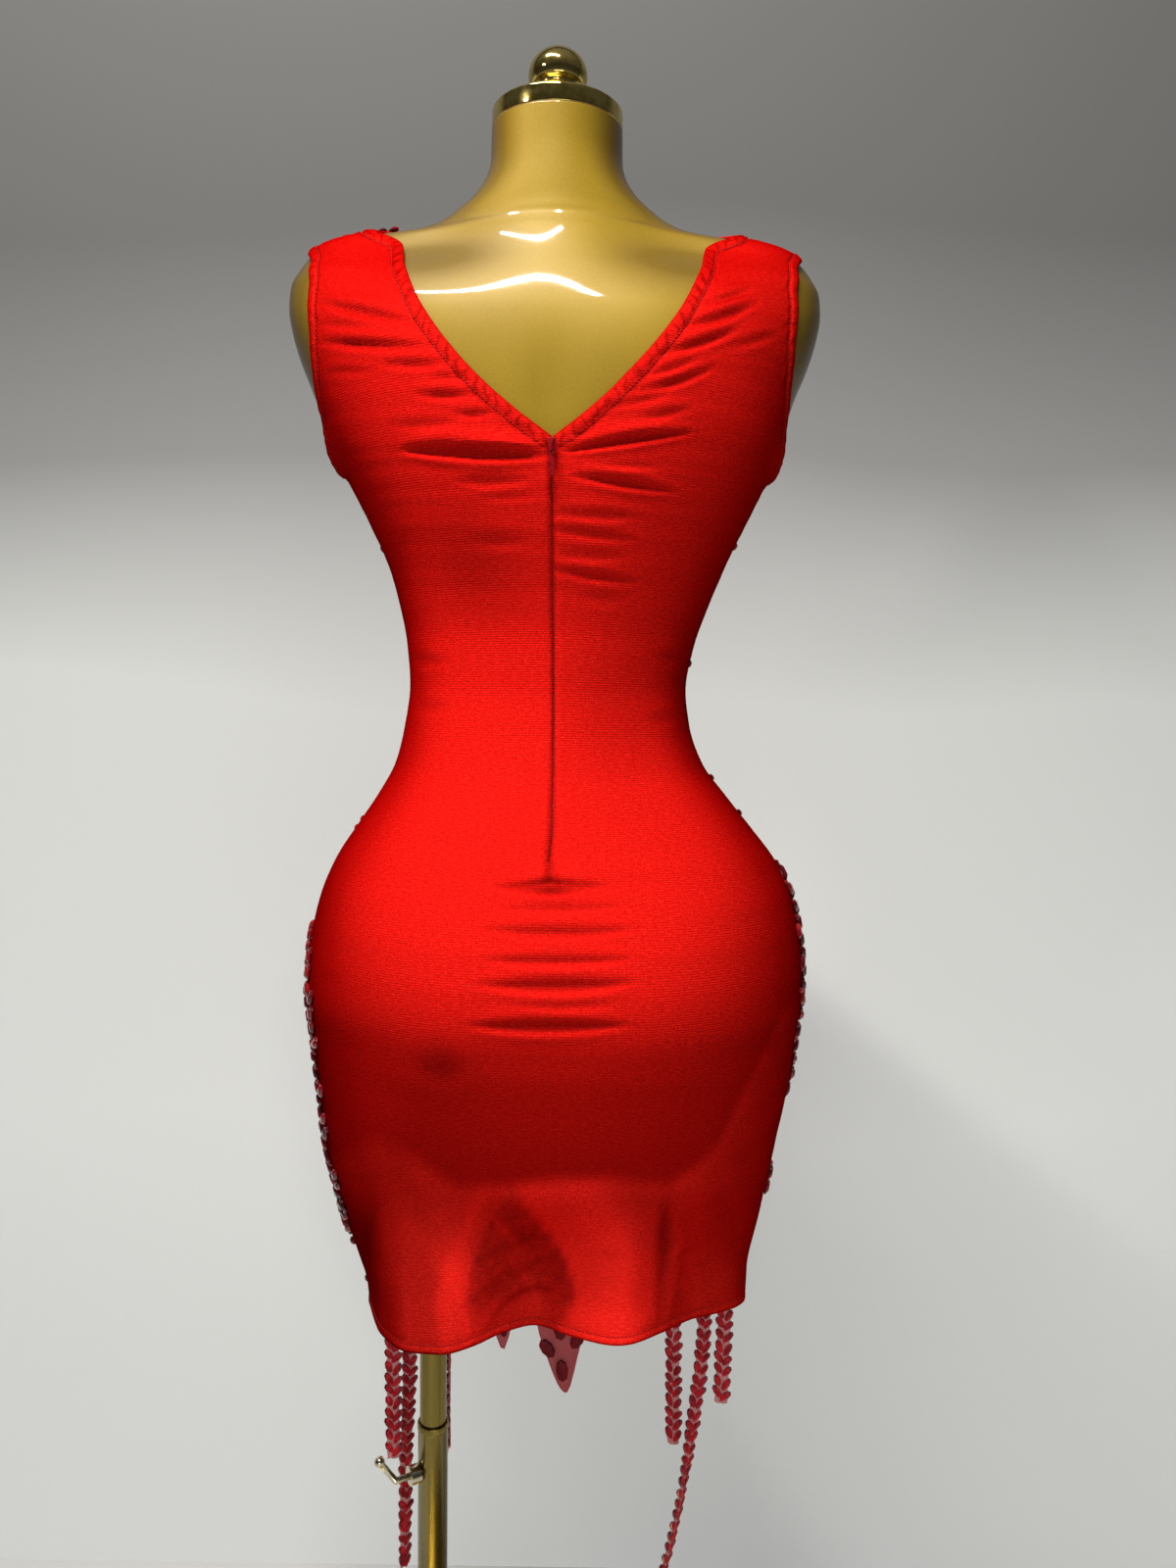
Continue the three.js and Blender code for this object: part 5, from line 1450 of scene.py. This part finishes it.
floor = plane("floor", [(-4, -4, 0), (4, -4, 0), (4, 0.42, 0), (-4, 0.42, 0)], stage_mat("floor_mat", (0.55, 0.55, 0.54), 0.6))
wall_mat, wt_, wb = material("wall_mat", (0.6, 0.6, 0.6), 0.42)
wsx = node(wt_, "ShaderNodeSeparateXYZ")
wt_.links.new(texture_at(wt_, (1, 1, 1)), wsx.inputs[0])
wz = math_node(wt_, "ADD", math_node(wt_, "DIVIDE", wsx.outputs["Z"], 2.2), math_node(wt_, "MULTIPLY", noise(wt_, texture_at(wt_, (1, 1, 1)), 1.1, 1.0), 0.10))
# painted light: the backdrop glows by its own colour, brighter low down and painted darker towards the top, with soft
# blotches
wall_painted_glow = ramp(wt_, wz, [(0.30, (0.50, 0.51, 0.50)), (0.52, (0.40, 0.41, 0.40)), (0.64, (0.16, 0.16, 0.158)), (0.76, (0.085, 0.085, 0.083))])
wt_.links.new(wall_painted_glow, wb.inputs["Base Color"])
wt_.links.new(wall_painted_glow, wb.inputs["Emission Color"])
wb.inputs["Emission Strength"].default_value = 0.55
wb.inputs["Specular IOR Level"].default_value = 0.0
# the backdrop is solid from the dress's side and clear from its own far side
wall_side, wall_clear, wall_mix = node(wt_, "ShaderNodeNewGeometry"), node(wt_, "ShaderNodeBsdfTransparent"), node(wt_, "ShaderNodeMixShader")
wt_.links.new(wall_side.outputs["Backfacing"], wall_mix.inputs[0])
wt_.links.new(wb.outputs[0], wall_mix.inputs[1])
wt_.links.new(wall_clear.outputs[0], wall_mix.inputs[2])
wt_.links.new(wall_mix.outputs[0], wt_.nodes["Material Output"].inputs["Surface"])
wall = plane("wall", [(-4, 0.42, 0), (4, 0.42, 0), (4, 0.42, 4), (-4, 0.42, 4)], wall_mat)
world = bpy.data.worlds.new("world")
scene.world = world
world.use_nodes = True
wt = world.node_tree
bg = wt.nodes["Background"]
wsep = node(wt, "ShaderNodeSeparateXYZ")
wt.links.new(node(wt, "ShaderNodeTexCoord").outputs["Generated"], wsep.inputs[0])
# a dim room with a pale floor and a light ceiling
wt.links.new(ramp(wt, math_node(wt, "ADD", math_node(wt, "MULTIPLY", wsep.outputs["Z"], 0.5), 0.5),
                  [(0.0, (0.30, 0.30, 0.29)), (0.42, (0.10, 0.10, 0.10)), (0.60, (0.06, 0.06, 0.06)), (0.82, (0.20, 0.20, 0.19)), (1.0, (0.42, 0.41, 0.39))]), bg.inputs["Color"])
bg.inputs["Strength"].default_value = 0.52


def area(name, at, aim, size, power, colour=(1, 1, 1), size_y=None):
    l = bpy.data.lights.new(name, "AREA")
    l.energy = power
    l.color = colour
    l.size = size
    if size_y:
        l.shape = "RECTANGLE"
        l.size_y = size_y
    o = bpy.data.objects.new(name, l)
    o.location = at
    d = Vector(aim) - Vector(at)
    o.rotation_euler = d.to_track_quat("-Z", "Y").to_euler()
    scene.collection.objects.link(o)
    return o


area("key", (-0.30, -0.62, 2.66), (0.0, -0.08, 0.95), 0.9, 66, (1.0, 0.97, 0.93), 0.04)
area("bounce", (0.12, -1.30, 0.48), (0.02, -0.08, 0.74), 0.9, 4.0, (1.0, 0.98, 0.95), 0.6)
patch = bpy.data.lights.new("patch", "SPOT")
patch.energy, patch.spot_size, patch.spot_blend, patch.shadow_soft_size = 40, math.radians(17), 1.0, 0.12
patch.color = (1.0, 0.97, 0.93)
patch_obj = bpy.data.objects.new("patch", patch)
patch_obj.location = (-1.15, -0.95, 1.75)
patch_obj.rotation_euler = (Vector((-0.05, -0.07, 1.03)) - Vector(patch_obj.location)).to_track_quat("-Z", "Y").to_euler()
scene.collection.objects.link(patch_obj)
neck_lamp = bpy.data.lights.new("neck_lamp", "SPOT")
neck_lamp.energy, neck_lamp.spot_size, neck_lamp.spot_blend, neck_lamp.shadow_soft_size = 52, math.radians(13), 1.0, 0.08
neck_lamp.color = (1.0, 0.97, 0.93)
neck_obj = bpy.data.objects.new("neck_lamp", neck_lamp)
neck_obj.location = (-1.12, -0.86, 1.96)
neck_obj.rotation_euler = (Vector((-0.01, -0.02, 1.435)) - Vector(neck_obj.location)).to_track_quat("-Z", "Y").to_euler()
scene.collection.objects.link(neck_obj)

scene.view_settings.view_transform = "Standard"
scene.view_settings.look = "None"
scene.view_settings.exposure = 0.0

# ---------------------------------------------------------------- cut sizes of the cloth
for ribbon, so, back_pads, zs, xs in strip_objs:
    long = float(np.hypot(np.diff(zs), np.diff(xs)).sum()) / 1000
